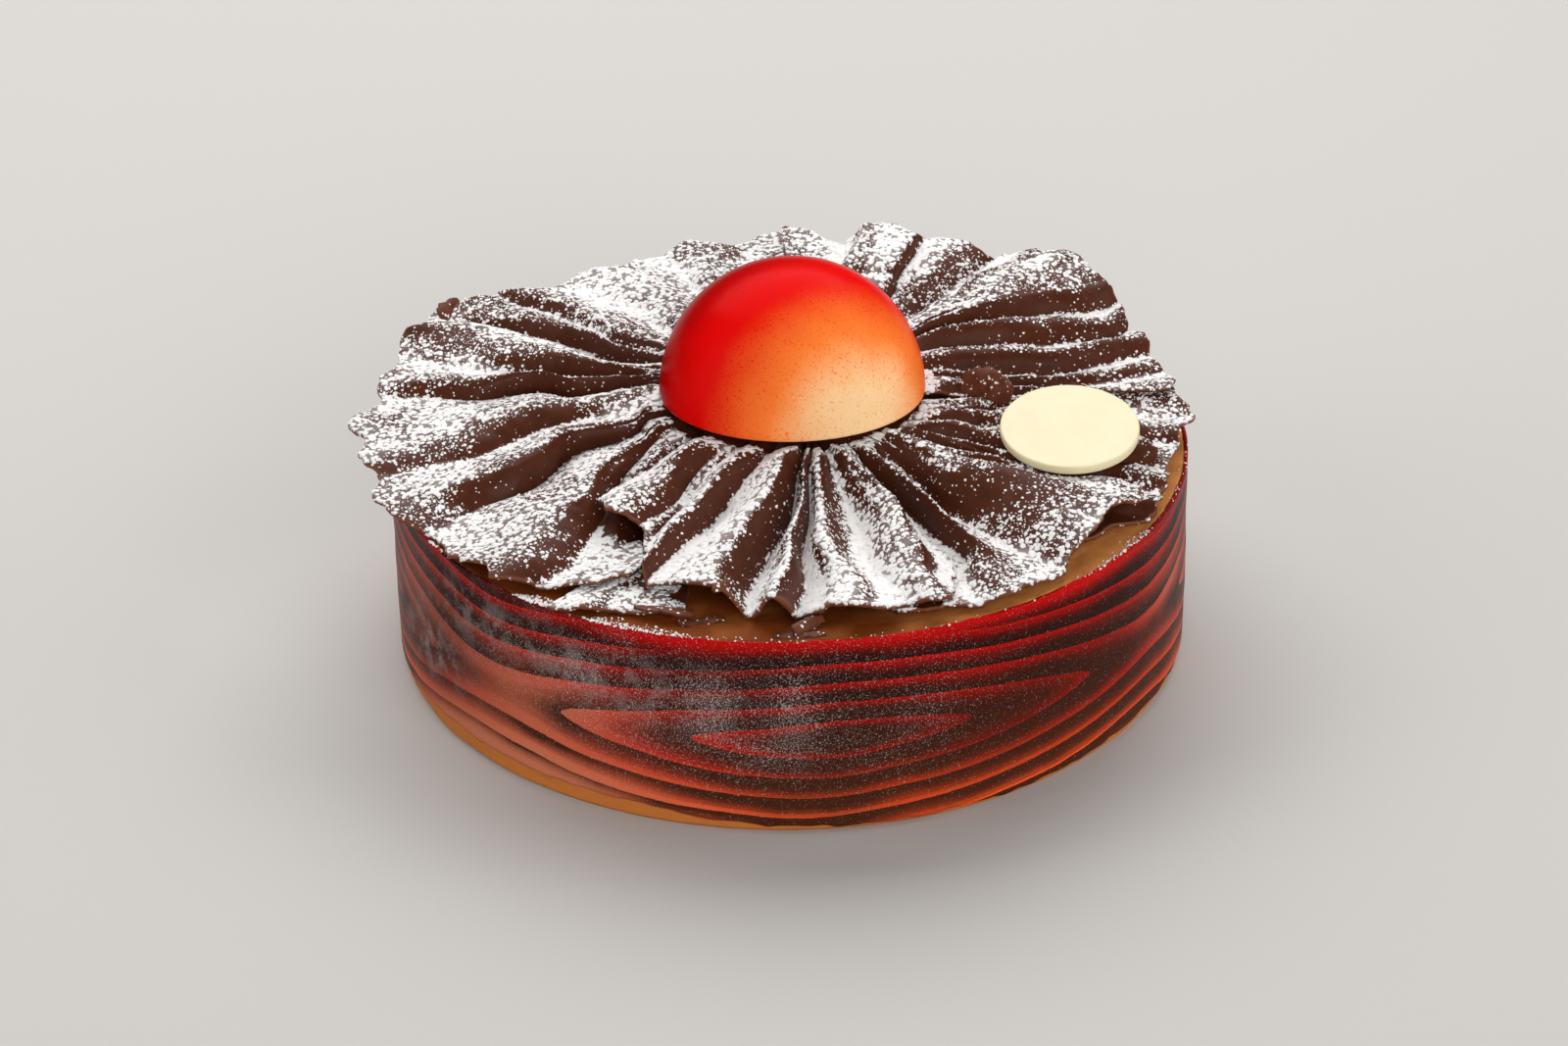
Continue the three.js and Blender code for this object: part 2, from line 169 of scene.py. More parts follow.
def turned(profile, columns):
    """Points and faces of a profile, from below to above, turned round the upright axis, ends closed."""
    angle = np.arange(columns) * 2 * np.pi / columns
    around = np.stack([np.cos(angle), np.sin(angle)], -1)[:, None, :]
    profile = np.array(profile, float)
    plan = around * profile[None, :, :1]
    points = np.concatenate([plan, np.broadcast_to(profile[None, :, 1:], plan.shape[:2] + (1,))], -1)
    rows = len(profile)
    low = np.arange(columns)[None, ::-1] * rows
    high = np.arange(columns)[None, :] * rows + rows - 1
    return points, [quads(columns, rows, closed=True), low, high]


mousse_profile = [(MOUSSE_RADIUS - MOUSSE_FOOT_BEVEL, 0.0)]
foot_heights = np.arange(MOUSSE_FOOT_BEVEL, FOOT_SHOWS_TO, FOOT_STEP)
side_heights = (*foot_heights, *HIDDEN_HEIGHTS, CAKE_HEIGHT - MOUSSE_TOP_BEVEL)
mousse_profile += [(MOUSSE_RADIUS, height) for height in side_heights]
top_radii = np.arange(MOUSSE_RADIUS - MOUSSE_TOP_BEVEL, TOP_SHOWS_FROM, -TOP_STEP)
mousse_profile += [(radius, CAKE_HEIGHT) for radius in (*top_radii, *HIDDEN_RADII)]
mousse_points, mousse_faces = turned(mousse_profile, MOUSSE_COLUMNS)
on_top = mousse_points[..., 2] > CAKE_HEIGHT - MOUSSE_TOP_BEVEL / 2
on_foot_edge = mousse_points[..., 2] < MOUSSE_FOOT_BEVEL / 2
swell = TOP_SWELL * (grain(mousse_points, size=14, seed=11) - 0.5)
bubbles = BUBBLE_SLOPE * np.clip(grain(mousse_points, BUBBLE_SIZE, seed=12) - BUBBLE_LEVEL, 0, 1)
mousse_points[..., 2] += np.where(on_top, swell - TOP_BUBBLE_DEPTH * bubbles, 0)
inward = FOOT_BUBBLE_DEPTH * bubbles + FOOT_UNEVEN * (grain(mousse_points, size=6, seed=13) - 0.5)
inward = np.where(on_top | on_foot_edge, 0, inward)
mousse_points[..., :2] *= 1 - inward[..., None] / MOUSSE_RADIUS
mousse_degrees = np.degrees(np.arctan2(mousse_points[..., 1], mousse_points[..., 0]))
# Painted shadow of the ruffles, in patches round the top
mousse_smears = sum(np.exp(-(wrapped(mousse_degrees, middle) / width) ** 4) for middle, width in RUFFLE_SHADOWS)
uneven = SHADOW_LEAST + SHADOW_VARIES * grain(mousse_points, size=5, seed=14)
mousse_smears = np.where(on_top, mousse_smears, 0) * uneven

# Chocolate mousse, spread with a spatula: matt and slightly mottled where bubbles lie close under it
mousse_look = new_material("chocolate mousse, spread")
place = add(mousse_look, "TexCoord", take="Object")
height = add(mousse_look, "SeparateXYZ", {0: place}, take="Z")
to_foot = add(mousse_look, "MapRange", {"Value": height, FROM_LOW: 10 * MM, FROM_HIGH: 3 * MM})
mottle = add(mousse_look, "TexNoise", {"Vector": place, "Scale": per_metre(MOTTLE_SIZE), "Detail": 4})
mottle = add(mousse_look, "MapRange", {"Value": mottle, FROM_LOW: 0.35, FROM_HIGH: 0.65})
pores = add(mousse_look, "TexNoise", {"Vector": place, "Scale": per_metre(PORE_SIZE), "Detail": 2})
top_tone = add(mousse_look, "Mix",
               {SHARE: mottle, UNDER: colour(MOUSSE_TOP), OVER: colour(MOUSSE_TOP_DARK)}, **COLOUR_MIX)
# Painted shadow of the ruffles darkens the top in patches
shadowed = add(mousse_look, "Attribute", take="Fac", attribute_name="smears")
top_tone = add(mousse_look, "Mix",
               {SHARE: shadowed, UNDER: top_tone, OVER: colour(MOUSSE_IN_SHADOW)}, **COLOUR_MIX)
tone = add(mousse_look, "Mix", {SHARE: to_foot, UNDER: top_tone, OVER: colour(MOUSSE_FOOT)}, **COLOUR_MIX)
relief = add(mousse_look, "Bump", {"Height": pores, "Strength": 0.35, "Distance": 0.3 * MM})
surface = add(mousse_look, "BsdfPrincipled", {
    "Base Color": tone, "Roughness": 0.7, "IOR": 1.45, "Specular IOR Level": 0.12, "Normal": relief,
    "Subsurface Weight": 0.15, "Subsurface Scale": 2 * MM})
add(mousse_look, "OutputMaterial", {"Surface": surface})

mousse = piece("mousse_round", mousse_points.reshape(-1, 3), mousse_faces, mousse_look, "mousse",
               smears=mousse_smears)
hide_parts("mousse")


# Collar: a thin band of dark chocolate combed over red cocoa butter with a graining rocker, then
# wrapped round the cold cake. The rings close into long eyes, each red up to a sharp outer line.
COLLAR_THICKNESS = 0.8
COLLAR_TOP = 47.2
COLLAR_LIP = 0.3
COLLAR_FOOT = 1.5
COLLAR_FOOT_RAGGED = 0.9
COLLAR_DENT = 0.3
COLLAR_NICK, COLLAR_NICKED_DOWN = 0.5, 0.5
COLLAR_COLUMNS = 900
COLLAR_ROWS = 64
LIP_SHAPE = [(0.12, -0.06), (0.4, 0.05), (0.68, -0.06), (COLLAR_THICKNESS, -COLLAR_LIP)]
INSIDE_ROWS = [0.5, 0.0]

# Where the lower edge rises: angle round the cake, width in degrees, and how far
COLLAR_RISES = [(215, 26, 3.4), (247, 16, 2.2), (336, 22, 1.4), (95, 30, 2.0)]

# Rings of the wood grain round its eyes
RING_WIDTH = 4.65
RING_DRIFT = 1.6
RING_WAVE = 0.7
RING_SHAKE = 0.1
EYE_HEIGHT = 22.9
EYE_ANGLE = 275
EYE_REACH = 11.3
EYE_POINT = 1.45
EYE_SKEW = 0.175
EYE_UNEVEN = 0.07
EYE_SHARPNESS = 0.97
EYE_SWAY, EYE_SWAYS, EYE_SWAY_START = 0.7, 3, 0.5

# Soft patches of the band: how far each kind reaches up and down, then for each patch its angle round
# the cake, width in degrees, height and strength. A painted pink sheen of the side lights spreads and pales
# the red, grey bloom mixed with painted sheen of the side lights clouds it, frost lies on it, the rim is
# red, and some rings are dim.
PATCHES = {
    "painted_sheen": (10.0, [(226, 26, 2, 1.5), (231, 16, 23, 0.75), (206, 12, 30, 0.6), (340, 12, 26, 0.5),
                    (60, 30, 10, 0.9), (48, 16, 26, 0.7), (130, 26, 20, 0.8), (165, 14, 8, 0.7)]),
    "clouds": (7.0, [(206, 11, 20, 0.75), (222, 16, 37, 0.46), (246, 13, 33, 0.42), (180, 18, 34, 0.5),
                     (20, 24, 34, 0.4), (110, 36, 34, 0.45), (85, 16, 18, 0.4)]),
    "frost": (16.0, [(268, 26, 28, 1.0), (240, 20, 34, 0.6), (40, 40, 24, 0.8), (150, 40, 28, 0.8)]),
    "rim": (2.0, [(286, 36, 47, 1.0), (252, 14, 46, 0.6), (318, 14, 46, 0.6), (20, 40, 47, 0.8),
                  (120, 50, 47, 0.8)]),
    "dim": (10.0, [(297, 15, 21, 0.85), (272, 12, 13, 0.5), (256, 11, 39, 0.8), (204, 14, 18, 0.9),
                   (215, 14, 34, 0.6), (318, 12, 27, 0.4), (20, 18, 22, 0.8), (100, 22, 30, 0.7),
                   (148, 18, 20, 0.7)]),
}
SCRATCH_SIZE = 0.9
COMB_LINES = 9  # to a ring, so about 0.5 mm each
PATCH_SIZE = 25.0
CLOUD_SIZE = 6.0
FROST_SIZE = 0.3  # drawn coarser than real frost, to show
DARK_CHOCOLATE = "#1f0b08"
DARK_CHOCOLATE_LOW = "#472213"
RED_BUTTER = "#b50a07"
# Red near the foot, lighter and more orange: partly its own tone, partly painted warm light from below
RED_BUTTER_GLOW_BELOW = "#fb5a26"
# Pale pink of the painted sheen of the side lights on the red
SHEEN_PINK = "#c57152"
# Grey of the bloom, which also stands for a painted sheen of the side lights
BLOOM_AND_SHEEN_GREY = "#8d7f7b"
FROST = "#d8cdc8"


def collar_foot(degrees):
    """Height of the collar's lower edge."""
    foot = COLLAR_FOOT
    for middle, width, rise in COLLAR_RISES:
        foot = foot + rise * np.exp(-(wrapped(degrees, middle) / width) ** 2)
    return foot


def rings(degrees, height, points):
    """How many rings lie between a point of the collar and the middle of its eye."""
    away = np.radians(degrees - EYE_ANGLE)
    turn = 2 * (away - EYE_SKEW * np.sin(away) - EYE_UNEVEN * (1 - np.cos(away)))
    along = EYE_REACH * np.abs(np.arcsin(EYE_SHARPNESS * np.sin(turn)) / np.arcsin(EYE_SHARPNESS))
    rise = height - EYE_HEIGHT - EYE_SWAY * np.sin(away * EYE_SWAYS + EYE_SWAY_START)
    rise = rise + RING_DRIFT * (grain(points, size=26, seed=21) - 0.5)
    out = (np.abs(rise) ** EYE_POINT + along ** EYE_POINT) ** (1 / EYE_POINT)
    out = out + RING_WAVE * (grain(points, size=16, seed=22) - 0.5)
    return (out + RING_SHAKE * (grain(points, size=2.6, seed=23) - 0.5)) / RING_WIDTH


def spread(degrees, height, patches, depth):
    """How far a point of the collar lies inside soft patches, from 0 for outside to their strength."""
    total = 0
    for middle, width, level, strength in patches:
        beside = wrapped(degrees, middle) / width
        total = total + strength * np.exp(-beside ** 2 - ((height - level) / depth) ** 2)
    return total


column_degrees = np.arange(COLLAR_COLUMNS) * 360 / COLLAR_COLUMNS
edge = np.stack([np.cos(np.radians(column_degrees)), np.sin(np.radians(column_degrees))], -1)
foot = collar_foot(column_degrees)[:, None]
foot_points = np.concatenate([edge * CAKE_RADIUS, foot], -1)
foot = foot + COLLAR_FOOT_RAGGED * (grain(foot_points, size=3, seed=24) - 0.5)[:, None]
outside = foot + (COLLAR_TOP - COLLAR_LIP - foot) * np.linspace(0, 1, COLLAR_ROWS)
inside = foot + (COLLAR_TOP - COLLAR_LIP - foot) * INSIDE_ROWS
lip_heights = [COLLAR_TOP + up for inward, up in LIP_SHAPE] * np.ones((COLLAR_COLUMNS, 1))
collar_heights = np.concatenate([outside, lip_heights, inside], 1)
collar_radii = [CAKE_RADIUS] * COLLAR_ROWS
collar_radii += [CAKE_RADIUS - inward for inward, up in LIP_SHAPE]
collar_radii += [CAKE_RADIUS - COLLAR_THICKNESS] * len(INSIDE_ROWS)
collar_radii = np.array(collar_radii)
collar_rows = len(collar_radii)
collar_plan = edge[:, None, :] * collar_radii[None, :, None]
collar_points = np.concatenate([collar_plan, collar_heights[..., None]], -1)
dents = grain(collar_points, size=18, seed=25) - 0.5 + 0.5 * (grain(collar_points, size=5, seed=26) - 0.5)
collar_points[..., :2] *= 1 + COLLAR_DENT * dents[..., None] / CAKE_RADIUS
nicks = COLLAR_NICK * (grain(collar_points, size=2.2, seed=27) - 0.5)
collar_points[..., 2] += np.where(collar_heights > COLLAR_TOP - COLLAR_NICKED_DOWN, nicks, 0)
around = np.broadcast_to(column_degrees[:, None], collar_heights.shape)
collar_marks = {"rings": rings(around, collar_heights, collar_points)}
for kind, (depth, patches) in PATCHES.items():
    collar_marks[kind] = spread(around, collar_heights, patches, depth)
collar_marks["frost"] *= 0.5 + grain(collar_points, size=9, seed=29)
first_row = np.arange(COLLAR_COLUMNS) * collar_rows
last_row = first_row + collar_rows - 1
under_side = np.stack([last_row, np.roll(last_row, -1), np.roll(first_row, -1), first_row], -1)

# Dark chocolate grained over red cocoa butter, peeled from a plastic strip: satin, each ring red up to a
# clean edge, with a pale bloom and fine frost where the cold cake drew damp from the air. The sheen of the
# side lights is painted in, pale pink on the red and grey with the bloom on the dark.
collar_look = new_material("grained chocolate on red cocoa butter")
place = add(collar_look, "TexCoord", take="Object")
height = add(collar_look, "SeparateXYZ", {0: place}, take="Z")
count, painted_sheen, clouds, frost, rim, dim = [
    add(collar_look, "Attribute", take="Fac", attribute_name=name) for name in collar_marks]
scratch = add(collar_look, "TexNoise", {"Vector": place, "Scale": per_metre(SCRATCH_SIZE), "Detail": 3})
scratch = add(collar_look, "Math", {0: scratch, 1: 0.5}, operation="SUBTRACT")
count = add(collar_look, "Math", {0: scratch, 1: 0.05, 2: count}, operation="MULTIPLY_ADD")
across = add(collar_look, "Math", {0: count}, operation="FRACT")
combed = add(collar_look, "TexNoise", {"W": count, "Scale": COMB_LINES, "Detail": 3},
             noise_dimensions="1D")
combed = add(collar_look, "MapRange",
             {"Value": combed, FROM_LOW: 0.3, FROM_HIGH: 0.7, TO_LOW: -0.05, TO_HIGH: 0.05})
across = add(collar_look, "Math", {0: across, 1: combed}, operation="ADD")
patch = add(collar_look, "TexNoise", {"Vector": place, "Scale": per_metre(PATCH_SIZE), "Detail": 2})
begins = add(collar_look, "MapRange",
             {"Value": patch, FROM_LOW: 0.35, FROM_HIGH: 0.65, TO_LOW: -0.1, TO_HIGH: 0.45})
# Painted sheen of the side lights: the red spreads further over each ring
begins = add(collar_look, "Math", {0: painted_sheen, 1: -0.4, 2: begins}, operation="MULTIPLY_ADD")
full = add(collar_look, "MapRange", {"Value": painted_sheen, TO_LOW: 1.02, TO_HIGH: 0.5})
redness = add(collar_look, "MapRange", {"Value": across, FROM_LOW: begins, FROM_HIGH: full})
rising = add(collar_look, "MapRange", {"Value": painted_sheen, TO_LOW: 2.5, TO_HIGH: 1.0})
redness = add(collar_look, "Math", {0: redness, 1: rising}, operation="POWER")
kept = add(collar_look, "MapRange", {"Value": dim, TO_LOW: 1.0, TO_HIGH: 0.12})
redness = add(collar_look, "Math", {0: redness, 1: kept}, operation="MULTIPLY")
redness = add(collar_look, "Math", {0: redness, 1: rim}, operation="MAXIMUM")
# Towards the foot the red takes on painted warm light from below, as well as its own tone
low = add(collar_look, "MapRange", {"Value": height, FROM_LOW: 18 * MM, FROM_HIGH: 3 * MM})
red = add(collar_look, "Mix",
          {SHARE: low, UNDER: colour(RED_BUTTER), OVER: colour(RED_BUTTER_GLOW_BELOW)}, **COLOUR_MIX)
# Painted sheen of the side lights turns the red pale pink
red = add(collar_look, "Mix", {SHARE: painted_sheen, UNDER: red, OVER: colour(SHEEN_PINK)}, **COLOUR_MIX)
lower = add(collar_look, "MapRange", {"Value": height, FROM_LOW: 45 * MM, FROM_HIGH: 7 * MM})
dark = add(collar_look, "Mix",
           {SHARE: lower, UNDER: colour(DARK_CHOCOLATE), OVER: colour(DARK_CHOCOLATE_LOW)}, **COLOUR_MIX)
tone = add(collar_look, "Mix", {SHARE: redness, UNDER: dark, OVER: red}, **COLOUR_MIX)
# Grey bloom in clouds, partly a painted sheen of the side lights on the dark rings
cloudy = add(collar_look, "TexNoise",
             {"Vector": place, "Scale": per_metre(CLOUD_SIZE), "Detail": 6, "Roughness": 0.7})
cloudy = add(collar_look, "MapRange", {"Value": cloudy, FROM_LOW: 0.47, FROM_HIGH: 0.60})
bloom_and_sheen = add(collar_look, "Math", {0: cloudy, 1: clouds}, operation="MULTIPLY")
tone = add(collar_look, "Mix", {SHARE: bloom_and_sheen, UNDER: tone, OVER: colour(BLOOM_AND_SHEEN_GREY)}, **COLOUR_MIX)
specks = add(collar_look, "TexNoise", {"Vector": place, "Scale": per_metre(FROST_SIZE), "Detail": 1})
specks = add(collar_look, "Math", {0: frost, 1: 0.14, 2: specks}, operation="MULTIPLY_ADD")
specks = add(collar_look, "MapRange", {"Value": specks, FROM_LOW: 0.67, FROM_HIGH: 0.80, TO_HIGH: 0.38})
tone = add(collar_look, "Mix", {SHARE: specks, UNDER: tone, OVER: colour(FROST)}, **COLOUR_MIX)
dull = add(collar_look, "MapRange", {"Value": bloom_and_sheen, TO_LOW: 0.36, TO_HIGH: 0.6})
relief = add(collar_look, "Bump", {"Height": scratch, "Strength": 0.15, "Distance": 0.2 * MM})
surface = add(collar_look, "BsdfPrincipled", {
    "Base Color": tone, "Roughness": dull, "IOR": 1.46, "Specular IOR Level": 0.04, "Normal": relief})
add(collar_look, "OutputMaterial", {"Surface": surface})

collar = piece("collar_band", collar_points.reshape(-1, 3),
               [quads(COLLAR_COLUMNS, collar_rows, closed=True), under_side], collar_look, "collar",
               **collar_marks)
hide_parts("collar")


# Ruffles: thin dark chocolate scraped off a marble slab with one side held, so that each scrape
# gathers into a fan of pleats. The fans lie over each other, narrow ends in the middle of the cake.
# Dust of icing sugar lies thick in the troughs and on the level parts, and leaves steep sides bare.
SHEET_THICKNESS = 0.9
STEEPEST_THICKENING = 2.4
LOWEST_TOP = 1.2
COLUMN_DEGREES = 0.45
ROW_LENGTH = 0.5
LEAST_STEP = 0.05
PLAN_HALF = 110

# Pleats are shallow where a fan is gathered, full about half way out, and flatter at the rim
GATHERED_DEPTH = 0.25
FULL_DEPTH_AT = 0.5
FLATTENS_AT = 0.4
OPENING_POWER = 1.8

# Pleats bulge and lean toward the front of the cake. The right half is centred on this angle
FRONT_BULGE = 0.85
BACK_BULGE = 0.1
RIGHT_HALF = 5.0
LEAN = 0.4

# Pleats wander and bow sideways, except along the two sides of a fan, and the rim is torn unevenly. Each
# wave has its share, how fast it turns per degree and along the fan, and where it starts
MEANDER_DEGREES = 0.9
MEANDER_WAVES = [(1, 0.13, 3.4, 0), (0.8, 0.29, -6.1, 1.3)]
BOW_DEGREES = 2.5
BOW_WAVES = [(1, 0.19, 0, 2)]
SIDE_DEGREES = 6.0
TORN_EDGE = 0.02
TORN_WAVES = [(1, 0.23, 0, 0), (0.6, 0.61, 0, 1)]

# Each fan lies clear of those below it, rounded where it climbs onto them
STACK_GAP = 0.9
STACK_BLEND = 1.5
STACK_MARGIN = 2.0
STACK_SEARCH = 14.0
SEARCH_ASIDE = 60.0
SEARCH_STEPS = 14
NOTHING_BELOW = -99.0

# Tears, wrinkles, frills and dents of the sheets, and how far their pattern moves on from fan to fan
RAGGED = 1.0
RAGGED_STEP = 7.0
TEAR_LEVEL = 0.6
TEARS_LEAST, TEARS_MOST = 0.4, 2.0
WRINKLE = 1.4
WRINKLE_STEP = 5.0
WRINKLES_PER_DEGREE = 0.8
WRINKLES_ALONG = 9
WRINKLES_END = 0.75
FRILL = 1.4
FRILL_FROM = 0.7
FRILL_STRETCH = (1, 0.4, 1)
DEEPEST_FRILL = -0.25
DENT = 0.6
DENT_STEP = 9.0

# How far the pleats wander sideways, clear of the dome and the disc
STRAY = 5.0
STRAY_LENGTH = 12.0
STRAY_CLEAR = 2.0
STRAY_FADE = 6.0

# Where sieved sugar stays: on what faces the sieve, in troughs, by the dome and in patches
SUGAR_FROM = np.array([-0.28, 0.24, 0.93])
SUGAR_DEPTH = 0.3
DEPTH_LEAST, DEPTH_VARIES = 0.4, 1.2
FACING, FACING_AT_LEAST = 1.9, 0.57
TROUGH_SPREAD = 60
CREST_LIMIT, TROUGH_LIMIT = -0.5, 2.0
TROUGH_FRONT, TROUGH_BACK, TROUGH_FULL_AT = 0.45, 0.75, 40.0
PATCHY = 0.45
BY_DOME, BY_DOME_REACH = 0.4, 3.0
THINNEST, THINNEST_PATCHY = -0.2, 0.3
BARE, THICKEST = -0.4, 1.5
SHELTERED_FROM = 4.0
SUGAR_UNDER_EDGE = 1.0

# Extra sugar, or less of it: across, deep, reach and how much
SUGAR_HEAPS = [(6.0, -62.0, 38.0, 0.5), (28.0, 72.0, 19.0, 0.6), (62.0, 24.0, 26.0, 0.18),
               (-38.0, 62.0, 30.0, 0.2), (44.0, -37.0, 11.0, -0.5), (-52.0, -29.0, 10.0, -0.25)]

# What lies on the ruffles, and how they give way under it
BUNCH_LEVEL = 9.5
BUNCH_REACH = 20.0
PROP_RISE = 4.5
PROP_REACH = 5.0
PRESS_MARGIN = 2.0
PRESS_RELEASE = 2.0
PRESS_SHARPNESS = 8
PRESS_HEIGHT = 12.0
FREE_HEIGHT = 60.0
DOME = {"x": 1.0, "y": 2.0, "z": 59.4, "radius": 30.0, "tip": -4.0, "gap": 0.45}
DISC = {"x": 62.0, "y": -20.0, "z": 58.6, "radius": 15.4, "tip": 9.0, "gap": 0.3}

# Marks in the chocolate and in the sugar, whose own grains are too fine to show and are drawn coarser
STREAK_SIZE = 2.4
CLUMP_SIZE = 2.0
GRAIN_SIZE = 1.2
POWDER_SIZE = 0.4
TORN_RIM = 0.8
TORN_SIDE = 0.5
BARE_CHOCOLATE = "#3c1b0f"
BARE_CHOCOLATE_PALE = "#572b19"
# Paler brown of torn edges, partly a painted highlight along them
TORN_CHOCOLATE_LIT = "#7d4a33"
ICING_SUGAR = "#f7f5f3"
ICING_SUGAR_SHADED = "#ebe7e4"

# The fans from the lowest to the highest, with a mark at each side, crest and trough: its angle at the
# rim and at the gathered end, its height half way out and at the rim, and the radius of the rim
GATHERED_ANGLE, HEIGHT, RIM_HEIGHT, RIM_RADIUS = 1, 2, 3, 4
FANS = [
    {"name": "ruffle_shard", "inner": 60, "marks": [
        (234, 239, 1.3, 1.3, 90), (239, 241.5, 2.4, 2, 89), (244, 244, 1.4, 1.4, 86),
        (249, 246.5, 2.2, 2, 84), (254, 249, 1.3, 1.3, 81)]},
    {"name": "ruffle_right", "inner": 22, "marks": [
        (322, 306, 3, 2, 84), (330, 311, 5.5, 3, 88), (335, 317, 10, 6, 90), (338, 321, 6.5, 4.5, 90),
        (342, 326, 11, 6.5, 90), (345.5, 331, 6, 4.5, 89.5), (350, 338, 10.5, 6.5, 89),
        (353, 342, 6.5, 5, 89), (357, 348, 11, 7, 89), (360.5, 353, 7, 5.5, 89),
        (366, 361, 10, 7.5, 87.5), (373, 370, 4, 5, 86.5)]},
    {"name": "ruffle_front_right", "inner": 22, "marks": [
        (285, 298, 1.6, 1.4, 84), (298, 304, 4, 2, 88), (302, 308, 12, 5, 90), (313, 315, 3.2, 2.2, 86),
        (326.5, 319.5, 13, 9.5, 85.5), (330, 321.5, 9, 8.5, 86), (332.5, 323.5, 8, 8, 86),
        (336.5, 326, 4.5, 3, 86)]},
    {"name": "ruffle_back_left", "inner": 24, "marks": [
        (80, 84, 5, 9, 86), (88, 92, 10, 11, 87), (95, 97, 7.5, 9.5, 86), (103, 104, 10.5, 11.5, 86),
        (110, 109, 8, 9.5, 83), (118, 115, 11, 11, 82), (125, 120, 8.5, 9.5, 83), (132, 125, 11, 11.5, 87),
        (137, 128, 8.5, 9, 90), (142, 131, 11, 10, 92), (147, 135, 6, 8, 97), (152, 139, 6.5, 9, 98),
        (157, 143, 4, 6, 97)]},
    {"name": "ruffle_left", "inner": 24, "marks": [
        (148, 138, 7, 8, 94), (154.5, 142, 12, 8.5, 96), (159.5, 144, 6, 7, 97), (164.5, 146, 11, 8, 95.5),
        (170, 148, 4.5, 6, 95.5), (187.5, 151, 10.5, 5.5, 96.5), (191, 163, 6.5, 4, 95),
        (200, 174, 10.5, 4.5, 94), (210, 178, 3, 1.3, 92), (225, 187, 9, 5.5, 90), (230.5, 193, 3, 2, 84),
        (236, 200, 5, 2, 80), (241, 206, 1.6, 1.4, 76)]},
    {"name": "ruffle_back", "inner": 24, "marks": [
        (53, 57, 9, 10, 84), (57, 60, 7, 11.5, 83), (62, 64, 9.5, 14.5, 81), (66, 67.5, 10.5, 15, 79),
        (67.5, 69, 12, 18, 77), (77, 77, 13, 18.5, 77), (80, 80, 9, 12, 78), (84, 84, 10.5, 12, 85),
        (89, 88, 6, 10, 86)]},
    {"name": "ruffle_back_right", "inner": 24, "marks": [
        (6, 14, 5, 5, 86.5), (12, 22, 9, 6.5, 87), (13.8, 26, 6.5, 5.5, 88), (15.8, 30, 9.5, 8, 89),
        (18, 34, 6.5, 6.5, 90), (21.5, 41, 12.5, 10, 90), (25, 46, 8.5, 8, 90), (29.5, 51, 14, 11.5, 90),
        (32, 53, 10, 9.5, 90.5), (36, 55, 16, 14.5, 91), (44, 58, 16, 17.5, 91), (50, 60, 15, 17.5, 86),
        (55, 63, 8, 12, 84)]},
    {"name": "ruffle_front", "inner": 22, "marks": [
        (222, 212, 6, 8, 58), (229, 222, 11, 10.5, 60), (235, 236, 7, 7, 61), (239, 243, 7, 5, 68),
        (244, 250, 11, 8, 76), (248, 259, 5, 4.5, 77), (258, 277, 13, 8, 79), (263, 280, 3, 1.3, 82.5),
        (269, 282.5, 10.5, 9.5, 84), (271.5, 284.5, 4.5, 2, 80), (278, 287.5, 10, 6.5, 83),
        (285.5, 291.5, 3, 1.3, 85), (292.5, 296.5, 12, 6.5, 89), (295.5, 300, 7, 3, 86),
        (298, 303, 4, 2, 80)]},
]


def ease(x):
    """Smooth step from 0 to 1."""
    x = np.clip(x, 0, 1)
    return x * x * (3 - 2 * x)


def mix(a, b, share):
    """Value between a and b."""
    return a + (b - a) * share


def span(fan):
    """First and last angle of a fan at its rim."""
    return fan["marks"][0][0], fan["marks"][-1][0]


def neighbours(fan, angle, item):
    """The values of the marks on both sides of an angle, and how far it lies from one to the other."""
    marks = np.array(fan["marks"], float)
    after = np.clip(np.searchsorted(marks[:, 0], angle), 1, len(marks) - 1)
    share = (angle - marks[after - 1, 0]) / (marks[after, 0] - marks[after - 1, 0])
    return marks[after - 1, item], marks[after, item], share


def folded(fan, item, angle):
    """A height of a fan at an angle of its rim: bulging on sides that face the front, wavy on others."""
    before, after, share = neighbours(fan, angle, item)
    share = np.clip(share, 0, 1)
    climb = np.where(after > before, share, 1 - share)
    to_front = np.cos(np.radians(angle - RIGHT_HALF)) * (after - before) > 0
    bulge = np.where(to_front, FRONT_BULGE, BACK_BULGE)
    climb = mix((1 - np.cos(np.pi * climb)) / 2, 1 - (1 - climb) ** 2, bulge)
    return mix(np.minimum(before, after), np.maximum(before, after), climb)


def length(fan, angle):
    """Length of a fan from its gathered end to its rim."""
    before, after, share = neighbours(fan, angle, RIM_RADIUS)
    return mix(before, after, ease(share)) - fan["inner"]


def waves(rows, angle, along=0):
    """Sum of the waves that run over a fan."""
    return sum(share * np.sin(turns * angle + out * along + start) for share, turns, out, start in rows)


def swept(fan, angle, along):
    """Angle round the cake of the line that ends at an angle of the rim, wandering a little."""
    first, last = span(fan)
    opened = 1 - (1 - np.clip(along, 0, 1)) ** OPENING_POWER
    inward = ease(np.minimum(angle - first, last - angle) / SIDE_DEGREES)
    bow = np.sin(np.pi * np.clip(along, 0, 1)) * waves(BOW_WAVES, angle)
    wander = inward * (MEANDER_DEGREES * waves(MEANDER_WAVES, angle, along) + BOW_DEGREES * bow)
    return mix(mix(*neighbours(fan, angle, GATHERED_ANGLE)), angle + wander, opened)


def torn(angle):
    """Share of its length at which a fan is torn off."""
    return 1 + TORN_EDGE * waves(TORN_WAVES, angle)


